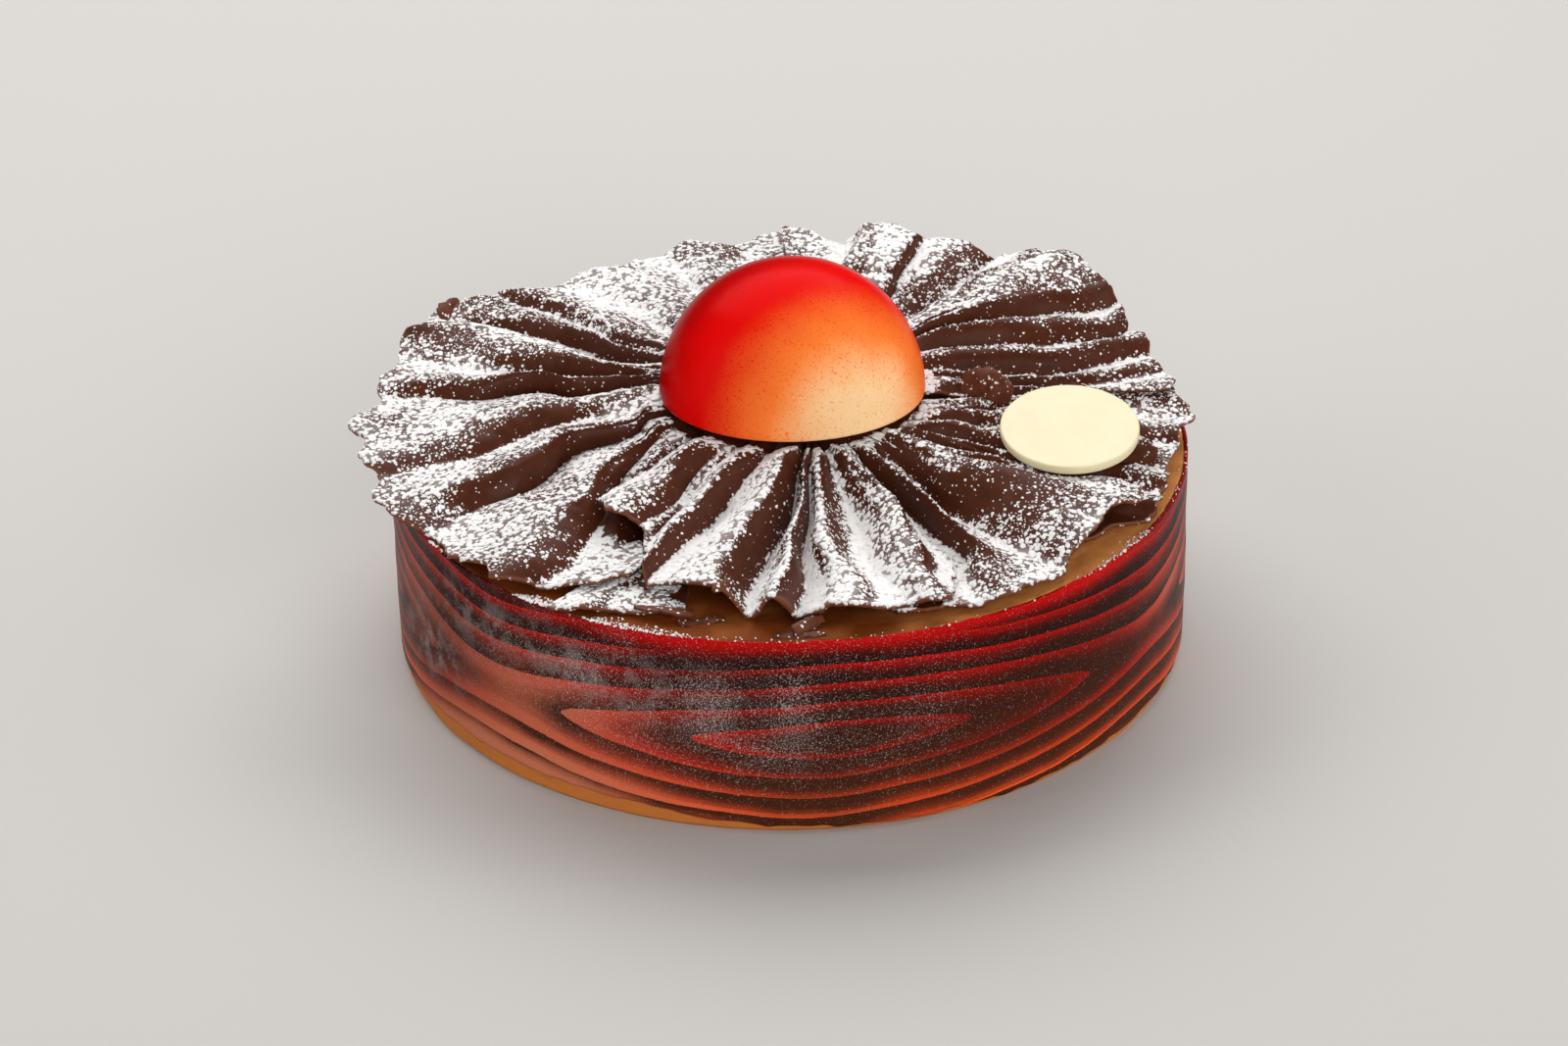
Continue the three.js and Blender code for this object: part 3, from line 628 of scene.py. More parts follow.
def own_height(fan, angle, along):
    """Height of a fan above the mousse where nothing lies under it."""
    level = np.mean([mark[HEIGHT] for mark in fan["marks"]])
    depth = mix(GATHERED_DEPTH, 1, ease(along / FULL_DEPTH_AT))
    near = level + depth * (folded(fan, HEIGHT, angle) - level)
    height = mix(near, folded(fan, RIM_HEIGHT, angle), ease((along - FLATTENS_AT) / (1 - FLATTENS_AT)))
    return np.maximum(height, LOWEST_TOP)


def height_at(level, degrees, radius):
    """Height of a fan over a spot of the cake, falling away beyond its edges."""
    fan = FANS[level]
    first, last = span(fan)
    low = np.full(degrees.shape, first - SEARCH_ASIDE)
    high = np.full(degrees.shape, last + SEARCH_ASIDE)
    for _ in range(SEARCH_STEPS):
        angle = (low + high) / 2
        short = swept(fan, angle, (radius - fan["inner"]) / length(fan, angle)) < degrees
        low = np.where(short, angle, low)
        high = np.where(short, high, angle)
    inside = np.clip(angle, first, last)
    along = (radius - fan["inner"]) / length(fan, inside)
    within = np.clip(along, 0, torn(inside))
    aside = np.radians(degrees - swept(fan, inside, along)) * radius
    beyond = np.hypot(aside, (along - within) * length(fan, inside))
    height = np.full(degrees.shape, NOTHING_BELOW)
    near = beyond < STACK_SEARCH
    if near.any():
        height[near] = stacked(level, inside[near], within[near], degrees[near], radius[near])
        height[near] -= np.maximum(beyond[near] - STACK_MARGIN, 0)
    return height


def stacked(level, angle, along, degrees, radius):
    """Height of a fan where it lies on the mousse or on the fans below it."""
    height = own_height(FANS[level], angle, along)
    under = np.full(height.shape, NOTHING_BELOW)
    for below, turn in itertools.product(range(level), (-360, 0, 360)):
        first, last = span(FANS[below])
        near = (degrees + turn > first - SEARCH_ASIDE) & (degrees + turn < last + SEARCH_ASIDE)
        if near.any():
            under[near] = np.maximum(under[near], height_at(below, degrees[near] + turn, radius[near]))
    under += STACK_GAP + SHEET_THICKNESS
    blend = np.clip(STACK_BLEND - np.abs(height - under), 0, None) / STACK_BLEND
    return np.maximum(height, under) + blend * blend * STACK_BLEND / 4


def leaned(degrees, radius, height):
    """Point of a ruffle, pleats leaning over towards the front."""
    turn = np.radians(degrees)
    push = -LEAN * height * np.cos(turn)
    across = radius * np.cos(turn) - push * np.sin(turn)
    deep = radius * np.sin(turn) + push * np.cos(turn)
    return np.stack([across, deep, CAKE_HEIGHT + height], -1)


def bunched(degrees, radius):
    """How far the ruffles are bunched up round the dome, which rests on them."""
    across = radius * np.cos(np.radians(degrees)) - DOME["x"]
    deep = radius * np.sin(np.radians(degrees)) - DOME["y"]
    base = DOME["z"] + np.tan(np.radians(DOME["tip"])) * deep - CAKE_HEIGHT
    away = np.hypot(across, deep) - DOME["radius"]
    return np.maximum(base - BUNCH_LEVEL, 0) * (1 - ease(away / BUNCH_REACH))


def propped(degrees, radius):
    """How far the pleats under the raised back of the disc stand up to carry it."""
    spot = leaned(degrees, radius, np.full(degrees.shape, PRESS_HEIGHT))
    back = spot[..., 1] - DISC["y"]
    away = np.hypot(spot[..., 0] - DISC["x"], back) - DISC["radius"]
    return PROP_RISE * ease((1 + back / DISC["radius"]) / 2) * (1 - ease(away / PROP_REACH))


def pressed(degrees, radius, height):
    """Height of a ruffle, pressed down where the dome or the disc lies on it."""
    spot = leaned(degrees, radius, np.full(degrees.shape, PRESS_HEIGHT))
    room = np.full(degrees.shape, FREE_HEIGHT)
    for lying in (DOME, DISC):
        base = lying["z"] + np.tan(np.radians(lying["tip"])) * (spot[..., 1] - lying["y"])
        away = np.hypot(spot[..., 0] - lying["x"], spot[..., 1] - lying["y"]) - lying["radius"]
        free = PRESS_RELEASE * np.maximum(away - PRESS_MARGIN, 0)
        room = np.minimum(room, base - CAKE_HEIGHT - lying["gap"] + free)
    return height / (1 + (np.maximum(height, 0) / room) ** PRESS_SHARPNESS) ** (1 / PRESS_SHARPNESS)


def normals(points):
    """Upward directions over a grid of points."""
    up = np.cross(np.gradient(points, axis=1), np.gradient(points, axis=0))
    return up / np.maximum(np.linalg.norm(up, axis=-1, keepdims=True), 1e-9)


def blurred(values, times):
    """Values over a grid, each drawn towards its neighbours."""
    for _ in range(times):
        wide = np.pad(values, 1, mode="edge")
        values = (wide[:-2, 1:-1] + wide[2:, 1:-1] + wide[1:-1, :-2] + wide[1:-1, 2:] + 2 * values) / 6
    return values


def strayed(points):
    """Points of a ruffle, moved sideways a little with all that lies over and under them."""
    plan = points * (1, 1, 0)
    shift = STRAY * np.stack([grain(plan, STRAY_LENGTH, seed) - 0.5 for seed in (38, 39)], -1)
    for lying in (DOME, DISC):
        away = np.hypot(points[..., 0] - lying["x"], points[..., 1] - lying["y"]) - lying["radius"]
        shift = shift * ease((away - STRAY_CLEAR) / STRAY_FADE)[..., None]
    return np.concatenate([points[..., :2] + shift, points[..., 2:]], -1)


def ruffle_faces(level):
    """Upper and lower points of a fan, as two grids."""
    fan = FANS[level]
    first, last = span(fan)
    columns = int(round((last - first) / COLUMN_DEGREES)) + 1
    longest = max(mark[RIM_RADIUS] for mark in fan["marks"]) - fan["inner"]
    rows = int(round(longest / ROW_LENGTH)) + 1
    angle = np.linspace(first, last, columns)[:, None] * np.ones(rows)
    rim = np.stack([angle, np.full(angle.shape, level * RAGGED_STEP), np.zeros(angle.shape)], -1)
    tears = mix(TEARS_LEAST, TEARS_MOST, grain(rim, size=8, seed=37))
    ragged = (grain(rim, size=0.9, seed=31) - TEAR_LEVEL) * tears
    ragged = RAGGED * (ragged + grain(rim, size=3.1, seed=32) - 0.5)
    along = np.linspace(0, 1, rows) * (torn(angle) + ragged / length(fan, angle))
    radius = fan["inner"] + along * length(fan, angle)
    degrees = swept(fan, angle, along)
    height = stacked(level, *[grid.ravel() for grid in (angle, along, degrees, radius)]).reshape(angle.shape)
    scraped = np.stack([angle * WRINKLES_PER_DEGREE, along * WRINKLES_ALONG,
                        np.full(angle.shape, level * WRINKLE_STEP)], -1)
    wrinkle = (grain(scraped, size=1.5, seed=33) - 0.5) * (1 - ease(along / WRINKLES_END))
    frill = grain(scraped * FRILL_STRETCH, size=3.6, seed=34) - 0.5
    frill = np.maximum(frill * ease((along - FRILL_FROM) / (1 - FRILL_FROM)), DEEPEST_FRILL)
    turn = np.radians(degrees)
    plan = np.stack([radius * np.cos(turn), radius * np.sin(turn),
                     np.full(angle.shape, level * DENT_STEP)], -1)
    dents = grain(plan, size=5.5, seed=35) + 0.5 * grain(plan, size=2.4, seed=36) - 0.75
    height = height + WRINKLE * wrinkle + FRILL * frill + DENT * dents
    height = np.maximum(height, LOWEST_TOP) + bunched(degrees, radius) + propped(degrees, radius)
    height = pressed(degrees, radius, height)
    step = np.maximum(np.gradient(turn, axis=0) * radius, LEAST_STEP)
    slope = np.hypot(np.gradient(height, axis=0) / step,
                     np.gradient(height, axis=1) / np.gradient(radius, axis=1))
    thickness = SHEET_THICKNESS * np.minimum(np.hypot(1, slope), STEEPEST_THICKENING)
    return [strayed(leaned(degrees, radius, face)) for face in (height, height - thickness)]


def sheet_faces(columns, rows):
    """Faces of a closed thin sheet whose upper points come first and lower points after them."""
    count = columns * rows
    rim = np.concatenate([np.arange(columns) * rows,
                          (columns - 1) * rows + np.arange(1, rows),
                          np.arange(columns - 2, -1, -1) * rows + rows - 1,
                          np.arange(rows - 2, 0, -1)])
    after = np.roll(rim, -1)
    wall = np.stack([rim, after, after + count, rim + count], -1)
    return [quads(columns, rows)[:, ::-1], quads(columns, rows) + count, wall]


def cells(points):
    """Where points lie in the plan of the cake that holds the highest point of each square millimetre."""
    across, deep = np.moveaxis(np.round(points[..., :2]).astype(int) + PLAN_HALF, -1, 0)
    return across, deep


def sugar_cover(upper):
    """How thickly icing sugar lies on each point of a ruffle, from 0 for bare to 1 for covered."""
    across, deep, height = np.moveaxis(upper, -1, 0)
    hollow = np.clip(blurred(height, TROUGH_SPREAD) - height, CREST_LIMIT, TROUGH_LIMIT)
    in_troughs = mix(TROUGH_FRONT, TROUGH_BACK, ease(deep / TROUGH_FULL_AT))
    patchy = grain(upper, size=11, seed=41) + 0.6 * grain(upper, size=3.5, seed=42) - 0.8
    cover = FACING * (normals(upper) @ SUGAR_FROM - FACING_AT_LEAST) + in_troughs * hollow + PATCHY * patchy
    by_dome, by_disc = [
        np.hypot(across - lying["x"], deep - lying["y"]) - lying["radius"] for lying in (DOME, DISC)]
    cover = cover + BY_DOME * np.exp(-(by_dome / BY_DOME_REACH) ** 2)
    for heap_across, heap_deep, reach, more in SUGAR_HEAPS:
        away = np.hypot(across - heap_across, deep - heap_deep) / reach
        cover = cover + more * np.exp(-away ** 2)
    cover = np.maximum(cover, THINNEST + THINNEST_PATCHY * patchy)
    hidden = roof[cells(upper)] - height > SHELTERED_FROM
    hidden = hidden | (np.minimum(by_dome, by_disc) < -SUGAR_UNDER_EDGE)
    return np.where(hidden, BARE, np.clip(cover, BARE, THICKEST))


sheets = [ruffle_faces(level) for level in range(len(FANS))]
roof = np.full((2 * PLAN_HALF, 2 * PLAN_HALF), CAKE_HEIGHT)
for upper, lower in sheets:
    np.maximum.at(roof, cells(upper), upper[..., 2])


# Dark chocolate scraped thin, satin, and icing sugar sieved on it in soft grains and small clumps
ruffle_look = new_material("scraped dark chocolate, sugar dusted")
place = add(ruffle_look, "TexCoord", take="Object")
cover = add(ruffle_look, "Attribute", take="Fac", attribute_name="sugar")
broken = add(ruffle_look, "Attribute", take="Fac", attribute_name="broken")
clumps = add(ruffle_look, "TexNoise",
             {"Vector": place, "Scale": per_metre(CLUMP_SIZE), "Detail": 3, "Roughness": 0.6})
clumps = add(ruffle_look, "Math", {0: clumps, 1: 0.5}, operation="SUBTRACT")
level = add(ruffle_look, "Math", {0: clumps, 1: 2.2, 2: cover}, operation="MULTIPLY_ADD")
grains = add(ruffle_look, "TexVoronoi", {"Vector": place, "Scale": per_metre(GRAIN_SIZE)})
grains = add(ruffle_look, "Math", {0: 0.45, 1: grains}, operation="SUBTRACT")
level = add(ruffle_look, "Math", {0: grains, 1: 1.8, 2: level}, operation="MULTIPLY_ADD")
dusted = add(ruffle_look, "MapRange", {"Value": level, FROM_LOW: 0.43, FROM_HIGH: 0.59},
             interpolation_type="SMOOTHSTEP")
film = add(ruffle_look, "MapRange", {"Value": cover, FROM_LOW: 0.35, FROM_HIGH: 1.2, TO_HIGH: 0.35},
           interpolation_type="SMOOTHSTEP")
dusted = add(ruffle_look, "Math", {0: dusted, 1: film}, operation="MAXIMUM")
streaks = add(ruffle_look, "TexNoise", {"Vector": place, "Scale": per_metre(STREAK_SIZE), "Detail": 4})
bare = add(ruffle_look, "Mix",
           {SHARE: streaks, UNDER: colour(BARE_CHOCOLATE), OVER: colour(BARE_CHOCOLATE_PALE)}, **COLOUR_MIX)
# Torn edges are paler: partly broken chocolate, partly a painted highlight
bare = add(ruffle_look, "Mix", {SHARE: broken, UNDER: bare, OVER: colour(TORN_CHOCOLATE_LIT)}, **COLOUR_MIX)
tone = add(ruffle_look, "Mix", {SHARE: dusted, UNDER: bare, OVER: colour(ICING_SUGAR)}, **COLOUR_MIX)
dull = add(ruffle_look, "MapRange", {"Value": dusted, TO_LOW: 0.42, TO_HIGH: 0.95})
powder = add(ruffle_look, "TexNoise", {"Vector": place, "Scale": per_metre(POWDER_SIZE), "Detail": 2})
powder = add(ruffle_look, "Math", {0: powder, 1: dusted}, operation="MULTIPLY")
heaped = add(ruffle_look, "MapRange", {"Value": level, FROM_LOW: 0.35, FROM_HIGH: 1.2})
lumpy = add(ruffle_look, "Math", {0: powder, 1: 0.3, 2: heaped}, operation="MULTIPLY_ADD")
relief = add(ruffle_look, "Bump", {"Height": lumpy, "Strength": 0.8, "Distance": 0.5 * MM})
surface = add(ruffle_look, "BsdfPrincipled", {
    "Base Color": tone, "Roughness": dull, "IOR": 1.46, "Specular IOR Level": 0.12, "Normal": relief})
add(ruffle_look, "OutputMaterial", {"Surface": surface})

covers = []
for fan, (upper, lower) in zip(FANS, sheets):
    cover_here = sugar_cover(upper)
    covers.append(cover_here)
    depth = SUGAR_DEPTH * np.clip(cover_here, 0, 1)
    depth = depth * (DEPTH_LEAST + DEPTH_VARIES * grain(upper, size=1.2, seed=43))
    top = upper + normals(upper) * depth[..., None]
    columns, rows = cover_here.shape
    broken_here = np.zeros((columns, rows))
    # Paler torn rim and sides, partly a painted highlight along them
    broken_here[:, -1] = TORN_RIM
    broken_here[[0, -1], :] = TORN_SIDE
    points = np.concatenate([top.reshape(-1, 3), lower.reshape(-1, 3)])
    made = piece(fan["name"] + "_sheet", points, sheet_faces(columns, rows), ruffle_look, "ruffle",
                 sugar=np.concatenate([cover_here.ravel(), np.zeros(columns * rows)]),
                 broken=np.concatenate([broken_here.ravel(), broken_here.ravel()]))
    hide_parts(fan["name"])


# Scraps: splinters and curls of the same scraped chocolate that broke off the ruffles as they were set
# down. Most lie loose on the mousse in front, and a few are caught between the pleats.
SCRAP_THICKNESS = 0.7
SCRAP_COLUMNS = 26
SCRAP_ROWS = 12
SCRAP_WAVE = 0.8
SCRAP_CHIPS = 0.7
SCRAP_TAPER = 0.75
NARROWEST, WIDEST = 0.15, 1.2
SCRAP_SUGAR = 0.05
SCRAP_TORN = 0.7
SCRAPS = [
    {"at": (3.5, -84.5), "long": 8, "wide": 4.6, "heading": 42, "curl": 1.7, "lift": 1.5, "tip": 52},
    {"at": (1.5, -86.6), "long": 11, "wide": 2.0, "heading": 2, "curl": 4.0, "lift": 0.5, "tip": 8},
    {"at": (-27.0, -78.5), "long": 13, "wide": 3.2, "heading": -14, "curl": 5.0, "lift": 0.5, "tip": -8},
    {"at": (-19.0, -80.5), "long": 10, "wide": 2.4, "heading": 8, "curl": 2.2, "lift": 0.6, "tip": 14},
    {"at": (-14.5, -77.5), "long": 6, "wide": 3.4, "heading": 50, "curl": 3.0, "lift": 0.7, "tip": 30},
    {"at": (44.5, 0.0), "long": 13, "wide": 9.0, "heading": -32, "curl": 6.0, "lift": 2.6, "tip": 66},
    {"at": (66.7, 2.0), "long": 9, "wide": 2.2, "heading": -50, "curl": 6.0, "lift": 2.0, "tip": 62},
    {"at": (-79.0, 51.0), "long": 9, "wide": 5.0, "heading": 62, "curl": 5.0, "lift": 1.0, "tip": 48},
]


def scrap(at, long, wide, heading, curl, lift, tip):
    """Points of one curled splinter, upper ones first, lying where it fell."""
    along = np.linspace(-0.5, 0.5, SCRAP_COLUMNS)[:, None] * np.ones(SCRAP_ROWS)
    side = np.linspace(-0.5, 0.5, SCRAP_ROWS)
    line = (along * long + at[0])[..., None] * (1, 0, 0)
    chips = SCRAP_CHIPS * (grain(line, size=1.1, seed=61) - 0.5)
    chipped = np.clip(1 - SCRAP_TAPER * np.abs(2 * along) ** 3 + chips, NARROWEST, WIDEST)
    bend = side * wide * chipped / curl
    wave = SCRAP_WAVE * (grain(line, size=4, seed=62) - 0.5)
    faces = []
    for reach in (curl, curl - SCRAP_THICKNESS):
        faces.append(np.stack([along * long, reach * np.sin(bend), reach * np.cos(bend) - curl + wave], -1))
    points = np.concatenate([face.reshape(-1, 3) for face in faces])
    turn = Matrix.Rotation(math.radians(heading), 3, "Z") @ Matrix.Rotation(math.radians(tip), 3, "X")
    ground = roof[cells(np.array(at))]
    return points @ np.array(turn).T + (at[0], at[1], ground + lift)


scrap_points = [scrap(**shape) for shape in SCRAPS]
scrap_faces = []
for number in range(len(SCRAPS)):
    first = number * 2 * SCRAP_COLUMNS * SCRAP_ROWS
    scrap_faces += [group + first for group in sheet_faces(SCRAP_COLUMNS, SCRAP_ROWS)]
scrap_points = np.concatenate(scrap_points)
# Scraps are paler in patches where torn, partly a painted highlight
piece("chocolate_scraps", scrap_points, scrap_faces, ruffle_look, "ruffle",
      sugar=np.full(len(scrap_points), SCRAP_SUGAR),
      broken=SCRAP_TORN * grain(scrap_points, size=1.5, seed=63))


# Loose sugar: small lumps of icing sugar that fell through the sieve and lie loose on the ruffles, most
# where the dust thins out, and along the top of the collar and the rim of the mousse.
LUMP_COUNT = 17000
LUMP_RADIUS = 0.19
LUMP_SPREAD = 0.4
LUMP_SMALLEST = 0.1
LUMP_LARGEST = 0.6
LUMP_UNEVEN = (0.7, 1.3)
LUMP_CORNERS = np.array([(1, 0, 0), (-1, 0, 0), (0, 1, 0), (0, -1, 0), (0, 0, 1), (0, 0, -1)], float)
LUMP_FACES = np.array([(0, 2, 4), (2, 1, 4), (1, 3, 4), (3, 0, 4),
                       (2, 0, 5), (1, 2, 5), (3, 1, 5), (0, 3, 5)])

# Lumps are likeliest where the dust has this cover, and rare far from it
LIKELIEST_COVER, COVER_SPREAD, LUMPS_ELSEWHERE = 0.42, 0.25, 0.03

# Lumps along the rim: angle round the cake, width in degrees and number, then how far in they lie
RIM_LUMPS = [(222, 13, 2000), (246, 9, 160), (327, 7, 130), (285, 30, 40), (40, 60, 300), (130, 40, 400)]
RIM_LUMP_IN, RIM_LUMP_IN_SPREAD = 0.7, 1.1
RIM_LUMP_RISE = 0.1
RIM_CLEAR_UNDER = 1.0
draws = np.random.default_rng(71)


def lump_mesh(spots, sizes):
    """Points and faces of small uneven lumps, one at each spot."""
    turn = np.linalg.qr(draws.normal(size=(len(spots), 3, 3)))[0]
    turn = turn * np.linalg.det(turn)[:, None, None]
    reach = sizes[:, None, None] * draws.uniform(*LUMP_UNEVEN, (len(spots), len(LUMP_CORNERS), 1))
    points = spots[:, None, :] + (LUMP_CORNERS * reach) @ turn
    faces = np.arange(len(spots))[:, None, None] * len(LUMP_CORNERS) + LUMP_FACES
    return points.reshape(-1, 3), [faces.reshape(-1, 3)]


spots = []
chances = []
for (upper, lower), cover_here in zip(sheets, covers):
    over, out = np.gradient(upper, axis=0), np.gradient(upper, axis=1)
    area = np.linalg.norm(np.cross(over, out), axis=-1)
    wanted = LUMPS_ELSEWHERE + np.exp(-((cover_here - LIKELIEST_COVER) / COVER_SPREAD) ** 2)
    shift = draws.uniform(-0.5, 0.5, (2,) + area.shape + (1,))
    raised = SUGAR_DEPTH * np.clip(cover_here, 0, 1)[..., None] * normals(upper)
    spots.append((upper + raised + shift[0] * over + shift[1] * out).reshape(-1, 3))
    chances.append(np.where(cover_here > BARE, area * wanted, 0).ravel())
spots = np.concatenate(spots)
chances = np.concatenate(chances)
spots = spots[draws.choice(len(spots), LUMP_COUNT, replace=False, p=chances / chances.sum())]
rim_spots = []
for middle, width, number in RIM_LUMPS:
    turn = np.radians(draws.normal(middle, width, number))
    radius = CAKE_RADIUS - np.abs(draws.normal(RIM_LUMP_IN, RIM_LUMP_IN_SPREAD, number))
    ground = np.where(radius > CAKE_RADIUS - COLLAR_THICKNESS, COLLAR_TOP, CAKE_HEIGHT)
    rim_spots.append(np.stack([radius * np.cos(turn), radius * np.sin(turn), ground + RIM_LUMP_RISE], -1))
rim_spots = np.concatenate(rim_spots)
rim_spots = rim_spots[roof[cells(rim_spots)] < CAKE_HEIGHT + RIM_CLEAR_UNDER]
spots = np.concatenate([spots, rim_spots])
sizes = LUMP_RADIUS * np.exp(draws.normal(0, LUMP_SPREAD, len(spots)))
lump_points, lump_faces = lump_mesh(spots, np.clip(sizes, LUMP_SMALLEST, LUMP_LARGEST))

# Icing sugar, sieved: dead white and soft, each lump a little shaded by its own powder
sugar_look = new_material("icing sugar, loose")
place = add(sugar_look, "TexCoord", take="Object")
powder = add(sugar_look, "TexNoise", {"Vector": place, "Scale": per_metre(POWDER_SIZE), "Detail": 2})
tone = add(sugar_look, "Mix",
           {SHARE: powder, UNDER: colour(ICING_SUGAR), OVER: colour(ICING_SUGAR_SHADED)}, **COLOUR_MIX)
surface = add(sugar_look, "BsdfPrincipled", {"Base Color": tone, "Roughness": 0.95, "IOR": 1.5})
add(sugar_look, "OutputMaterial", {"Surface": surface})

piece("sugar_lumps", lump_points, lump_faces, sugar_look, "ruffle")


# Dome: a half ball of chocolate cast in a polished mould that was sprayed with coloured cocoa butter
# first, red over most of it and fading through orange to peach at the front right. It rests on the
# gathered ends of the ruffles.
DOME_RINGS = 64
DOME_COLUMNS = 160
DOME_FOOT = [(0.5, 0.0), (0.12, 0.18)]
DOME_LOWEST, DOME_HIGHEST = 0.02, np.pi / 2 - 0.01
DOME_RED_DEEP = "#980101"

# Colours sprayed over the deep red: where each begins and is full, in mm towards the peach side
DOME_SPRAYS = [(-14.0, 6.0, "#e00a08"), (7.5, 26.5, "#ff8838"), (21.0, 31.0, "#ffd8a2")]
PEACH_SIDE = (0.52, -0.85, 0.05)
SPRAY_DOT = 0.5  # drawn coarser than the real mist, to show
SPRAY_CLOUD = 11.0


def placed(points, lying):
    """Points of a turned piece, tipped and moved to where it lies."""
    tip = np.array(Matrix.Rotation(math.radians(lying["tip"]), 3, "X"))
    return points @ tip.T + (lying["x"], lying["y"], lying["z"])


dome_profile = [(DOME["radius"] - inward, up) for inward, up in DOME_FOOT]
for rise in np.linspace(DOME_LOWEST, DOME_HIGHEST, DOME_RINGS):
    dome_profile.append((DOME["radius"] * np.cos(rise), DOME["radius"] * np.sin(rise)))
dome_points, dome_faces = turned(dome_profile, DOME_COLUMNS)
dome_points = placed(dome_points, DOME)

# Moulded chocolate sprayed with cocoa butter: glossy, with fine dots where one colour thins out
dome_look = new_material("moulded chocolate, sprayed cocoa butter")
place = add(dome_look, "TexCoord", take="Object")
centre = [DOME["x"] * MM, DOME["y"] * MM, DOME["z"] * MM]
outward = add(dome_look, "VectorMath", {0: place, 1: centre}, operation="SUBTRACT")
toward = add(dome_look, "VectorMath", {0: outward, 1: PEACH_SIDE}, take="Value",
             operation="DOT_PRODUCT")
dots = add(dome_look, "TexNoise", {"Vector": place, "Scale": per_metre(SPRAY_DOT), "Detail": 1})
clouds = add(dome_look, "TexNoise", {"Vector": place, "Scale": per_metre(SPRAY_CLOUD), "Detail": 3})
dots = add(dome_look, "MapRange",
           {"Value": dots, FROM_LOW: 0.60, FROM_HIGH: 0.70, TO_LOW: 0.0, TO_HIGH: -4 * MM})
clouds = add(dome_look, "MapRange",
             {"Value": clouds, FROM_LOW: 0.3, FROM_HIGH: 0.7, TO_LOW: -MM, TO_HIGH: MM})
spray = add(dome_look, "Math", {0: dots, 1: clouds}, operation="ADD")
spray = add(dome_look, "Math", {0: spray, 1: toward}, operation="ADD")
tone = colour(DOME_RED_DEEP)
for begins, ends, sprayed in DOME_SPRAYS:
    share = add(dome_look, "MapRange", {"Value": spray, FROM_LOW: begins * MM, FROM_HIGH: ends * MM},
                interpolation_type="SMOOTHSTEP")
    tone = add(dome_look, "Mix", {SHARE: share, UNDER: tone, OVER: colour(sprayed)}, **COLOUR_MIX)
surface = add(dome_look, "BsdfPrincipled", {
    "Base Color": tone, "Roughness": 0.25, "IOR": 1.46, "Specular IOR Level": 0.015})
add(dome_look, "OutputMaterial", {"Surface": surface})

dome = piece("sprayed_dome", dome_points.reshape(-1, 3), dome_faces, dome_look, "dome")
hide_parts("dome")


# Disc: a plain round of white chocolate, cut with a warm ring from a sheet that had set flat, which
# leaves its edge softly rounded. It lies loose on the right-hand ruffles, its back edge a little higher
# than its front.
DISC_THICKNESS = 2.0
DISC_EDGE = 0.45
DISC_EDGE_ROWS = 10
DISC_FLAT_FROM = 1.0
DISC_STEP = 0.7
DISC_MIDDLE = 0.4
DISC_COLUMNS = 160
DISC_SWELL = 0.12
DISC_UNROUND = 0.006
DISC_CLOUD = 8.0
DISC_PORE = 0.7
DISC_IVORY = "#e2d7b1"
DISC_IVORY_DEEP = "#dfd2aa"

disc_profile = []
for turn in np.linspace(-np.pi / 2, np.pi / 2, DISC_EDGE_ROWS):
    rise = DISC_EDGE if turn < 0 else DISC_THICKNESS - DISC_EDGE
    radius = DISC["radius"] - DISC_EDGE + DISC_EDGE * np.cos(turn)
    disc_profile.append((radius, rise + DISC_EDGE * np.sin(turn)))
flat_radii = np.arange(DISC["radius"] - DISC_FLAT_FROM, DISC_MIDDLE, -DISC_STEP)
disc_profile += [(radius, DISC_THICKNESS) for radius in flat_radii]
disc_points, disc_faces = turned(disc_profile, DISC_COLUMNS)
upper_side = disc_points[..., 2] > DISC_THICKNESS / 2
disc_points[..., 2] += DISC_SWELL * (grain(disc_points, size=7, seed=51) - 0.5) * upper_side
disc_points[..., :2] *= 1 + DISC_UNROUND * (grain(disc_points, size=4, seed=52) - 0.5)[..., None]
disc_points = placed(disc_points, DISC)

# White chocolate set on a smooth sheet: satin, ivory with faint deeper clouds
disc_look = new_material("white chocolate, set flat")
place = add(disc_look, "TexCoord", take="Object")
clouds = add(disc_look, "TexNoise", {"Vector": place, "Scale": per_metre(DISC_CLOUD), "Detail": 4})
clouds = add(disc_look, "MapRange", {"Value": clouds, FROM_LOW: 0.35, FROM_HIGH: 0.7})
tone = add(disc_look, "Mix",
           {SHARE: clouds, UNDER: colour(DISC_IVORY), OVER: colour(DISC_IVORY_DEEP)}, **COLOUR_MIX)
fine = add(disc_look, "TexNoise", {"Vector": place, "Scale": per_metre(DISC_PORE), "Detail": 2})
relief = add(disc_look, "Bump", {"Height": fine, "Strength": 0.08, "Distance": 0.2 * MM})
surface = add(disc_look, "BsdfPrincipled", {
    "Base Color": tone, "Roughness": 0.38, "IOR": 1.46, "Normal": relief,
    "Subsurface Weight": 0.2, "Subsurface Scale": 2 * MM})
add(disc_look, "OutputMaterial", {"Surface": surface})

disc = piece("white_disc", disc_points.reshape(-1, 3), disc_faces, disc_look, "disc")
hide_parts("disc")


# Floor: a plain studio table top, painted matt with a roller, that the cake stands on. It runs on far
# past the picture on all sides, so that no edge of it shows.
FLOOR_ACROSS = (-1500, 1500)
FLOOR_DEEP = (-1500, 2500)
FLOOR_LINES = 13
FLOOR_PALE = "#bfbcb8"
FLOOR_GRAIN = 17.0  # drawn coarser than the real marks of the roller, to show

floor_points = np.array([[x, y, 0.0] for x in np.linspace(*FLOOR_ACROSS, FLOOR_LINES)
                         for y in np.linspace(*FLOOR_DEEP, FLOOR_LINES)])

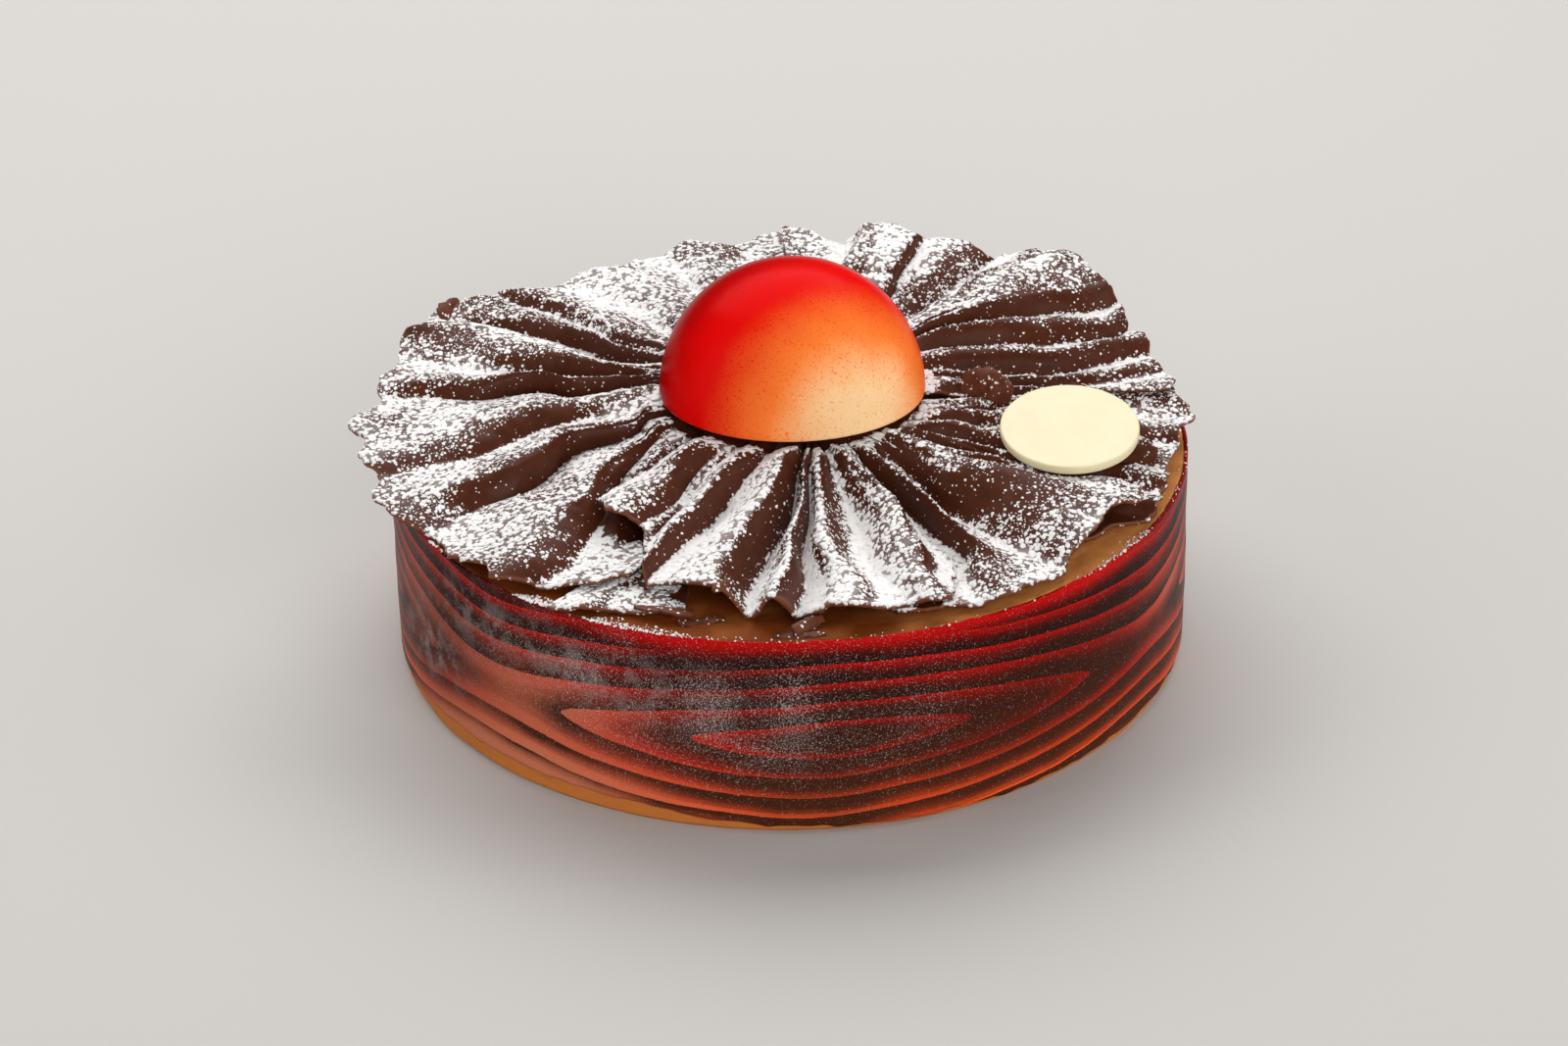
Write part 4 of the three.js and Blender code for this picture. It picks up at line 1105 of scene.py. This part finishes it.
# Matt paint, rolled on: pale and even, with faint uneven marks
floor_look = new_material("pale matt paint")
place = add(floor_look, "TexCoord", take="Object")
fine = add(floor_look, "TexNoise", {"Vector": place, "Scale": per_metre(FLOOR_GRAIN), "Detail": 4})
relief = add(floor_look, "Bump", {"Height": fine, "Strength": 0.03, "Distance": 0.5 * MM})
surface = add(floor_look, "BsdfPrincipled", {
    "Base Color": colour(FLOOR_PALE), "Roughness": 0.7, "Normal": relief})
add(floor_look, "OutputMaterial", {"Surface": surface})
floor_mesh = bpy.data.meshes.new("table_top")
floor_mesh.from_pydata((floor_points * MM).tolist(), [], quads(FLOOR_LINES, FLOOR_LINES)[:, ::-1].tolist())
floor_mesh.materials.append(floor_look)
floor = bpy.data.objects.new("table_top", floor_mesh)
bpy.context.scene.collection.objects.link(floor)


# Lights: a large soft box above and behind the cake, a tall one at each side and a wide one in front,
# and a little light from the white room all round. Each row gives a light's place, what it is aimed at
# and its size, all in metres, and its power in watts.
ROOM_LIGHT = 0.06
LIGHTS = [
    ("soft box above", (-0.1, 0.70, 0.95), (0.0, 0.0, 0.05), (1.6, 1.0), 18.0),
    ("soft box at the left", (-1.0, -0.20, 0.50), (0.0, 0.0, 0.04), (0.6, 1.0), 4.0),
    ("soft box at the right", (1.05, -0.05, 0.50), (0.0, 0.0, 0.04), (0.6, 1.0), 4.0),
    ("soft box in front", (0.40, -1.25, 0.55), (0.0, 0.0, 0.05), (1.2, 0.8), 13.0),
]
for name, spot, aim, size, power in LIGHTS:
    lamp = bpy.data.lights.new(name, "AREA")
    lamp.shape = "RECTANGLE"
    lamp.size, lamp.size_y = size
    lamp.energy = power
    holder = bpy.data.objects.new(name, lamp)
    away = np.array(spot) - np.array(aim)
    away = away / np.linalg.norm(away)
    level = np.cross((0, 0, 1), away)
    level = level / np.linalg.norm(level)
    axes = np.eye(4)
    axes[:3, 0], axes[:3, 1], axes[:3, 2], axes[:3, 3] = level, np.cross(away, level), away, spot
    holder.matrix_world = Matrix(axes.tolist())
    bpy.context.scene.collection.objects.link(holder)

room = bpy.data.worlds.new("studio")
room.use_nodes = True
room.node_tree.nodes["Background"].inputs["Color"].default_value = (1.0, 1.0, 1.0, 1.0)
room.node_tree.nodes["Background"].inputs["Strength"].default_value = ROOM_LIGHT
bpy.context.scene.world = room
bpy.context.scene.view_settings.view_transform = "Standard"


# Camera: a long lens about a metre in front of the cake, looking down on it and held slightly off level.
# It is aimed at the middle of the cake, a little above half the height of the mousse.
LENS = 100.0
SENSOR = 36.0
PITCH = math.radians(28.99)
ROLL = math.radians(-1.02)
DISTANCE = 995.5 * MM
TARGET = np.array([-1.43, 0.0, 26.0]) * MM

ahead = np.array([0, math.cos(PITCH), -math.sin(PITCH)])
sideways = np.array([1.0, 0, 0])
upward = np.cross(sideways, ahead)
axes = np.eye(4)
axes[:3, 0] = math.cos(ROLL) * sideways + math.sin(ROLL) * upward
axes[:3, 1] = -math.sin(ROLL) * sideways + math.cos(ROLL) * upward
axes[:3, 2] = -ahead
axes[:3, 3] = TARGET - ahead * DISTANCE
camera = bpy.data.cameras.new("camera")
camera.sensor_width = SENSOR
camera.lens = LENS
camera.dof.use_dof = False
stand = bpy.data.objects.new("camera", camera)
stand.matrix_world = Matrix(axes.tolist())
bpy.context.scene.collection.objects.link(stand)
bpy.context.scene.camera = stand
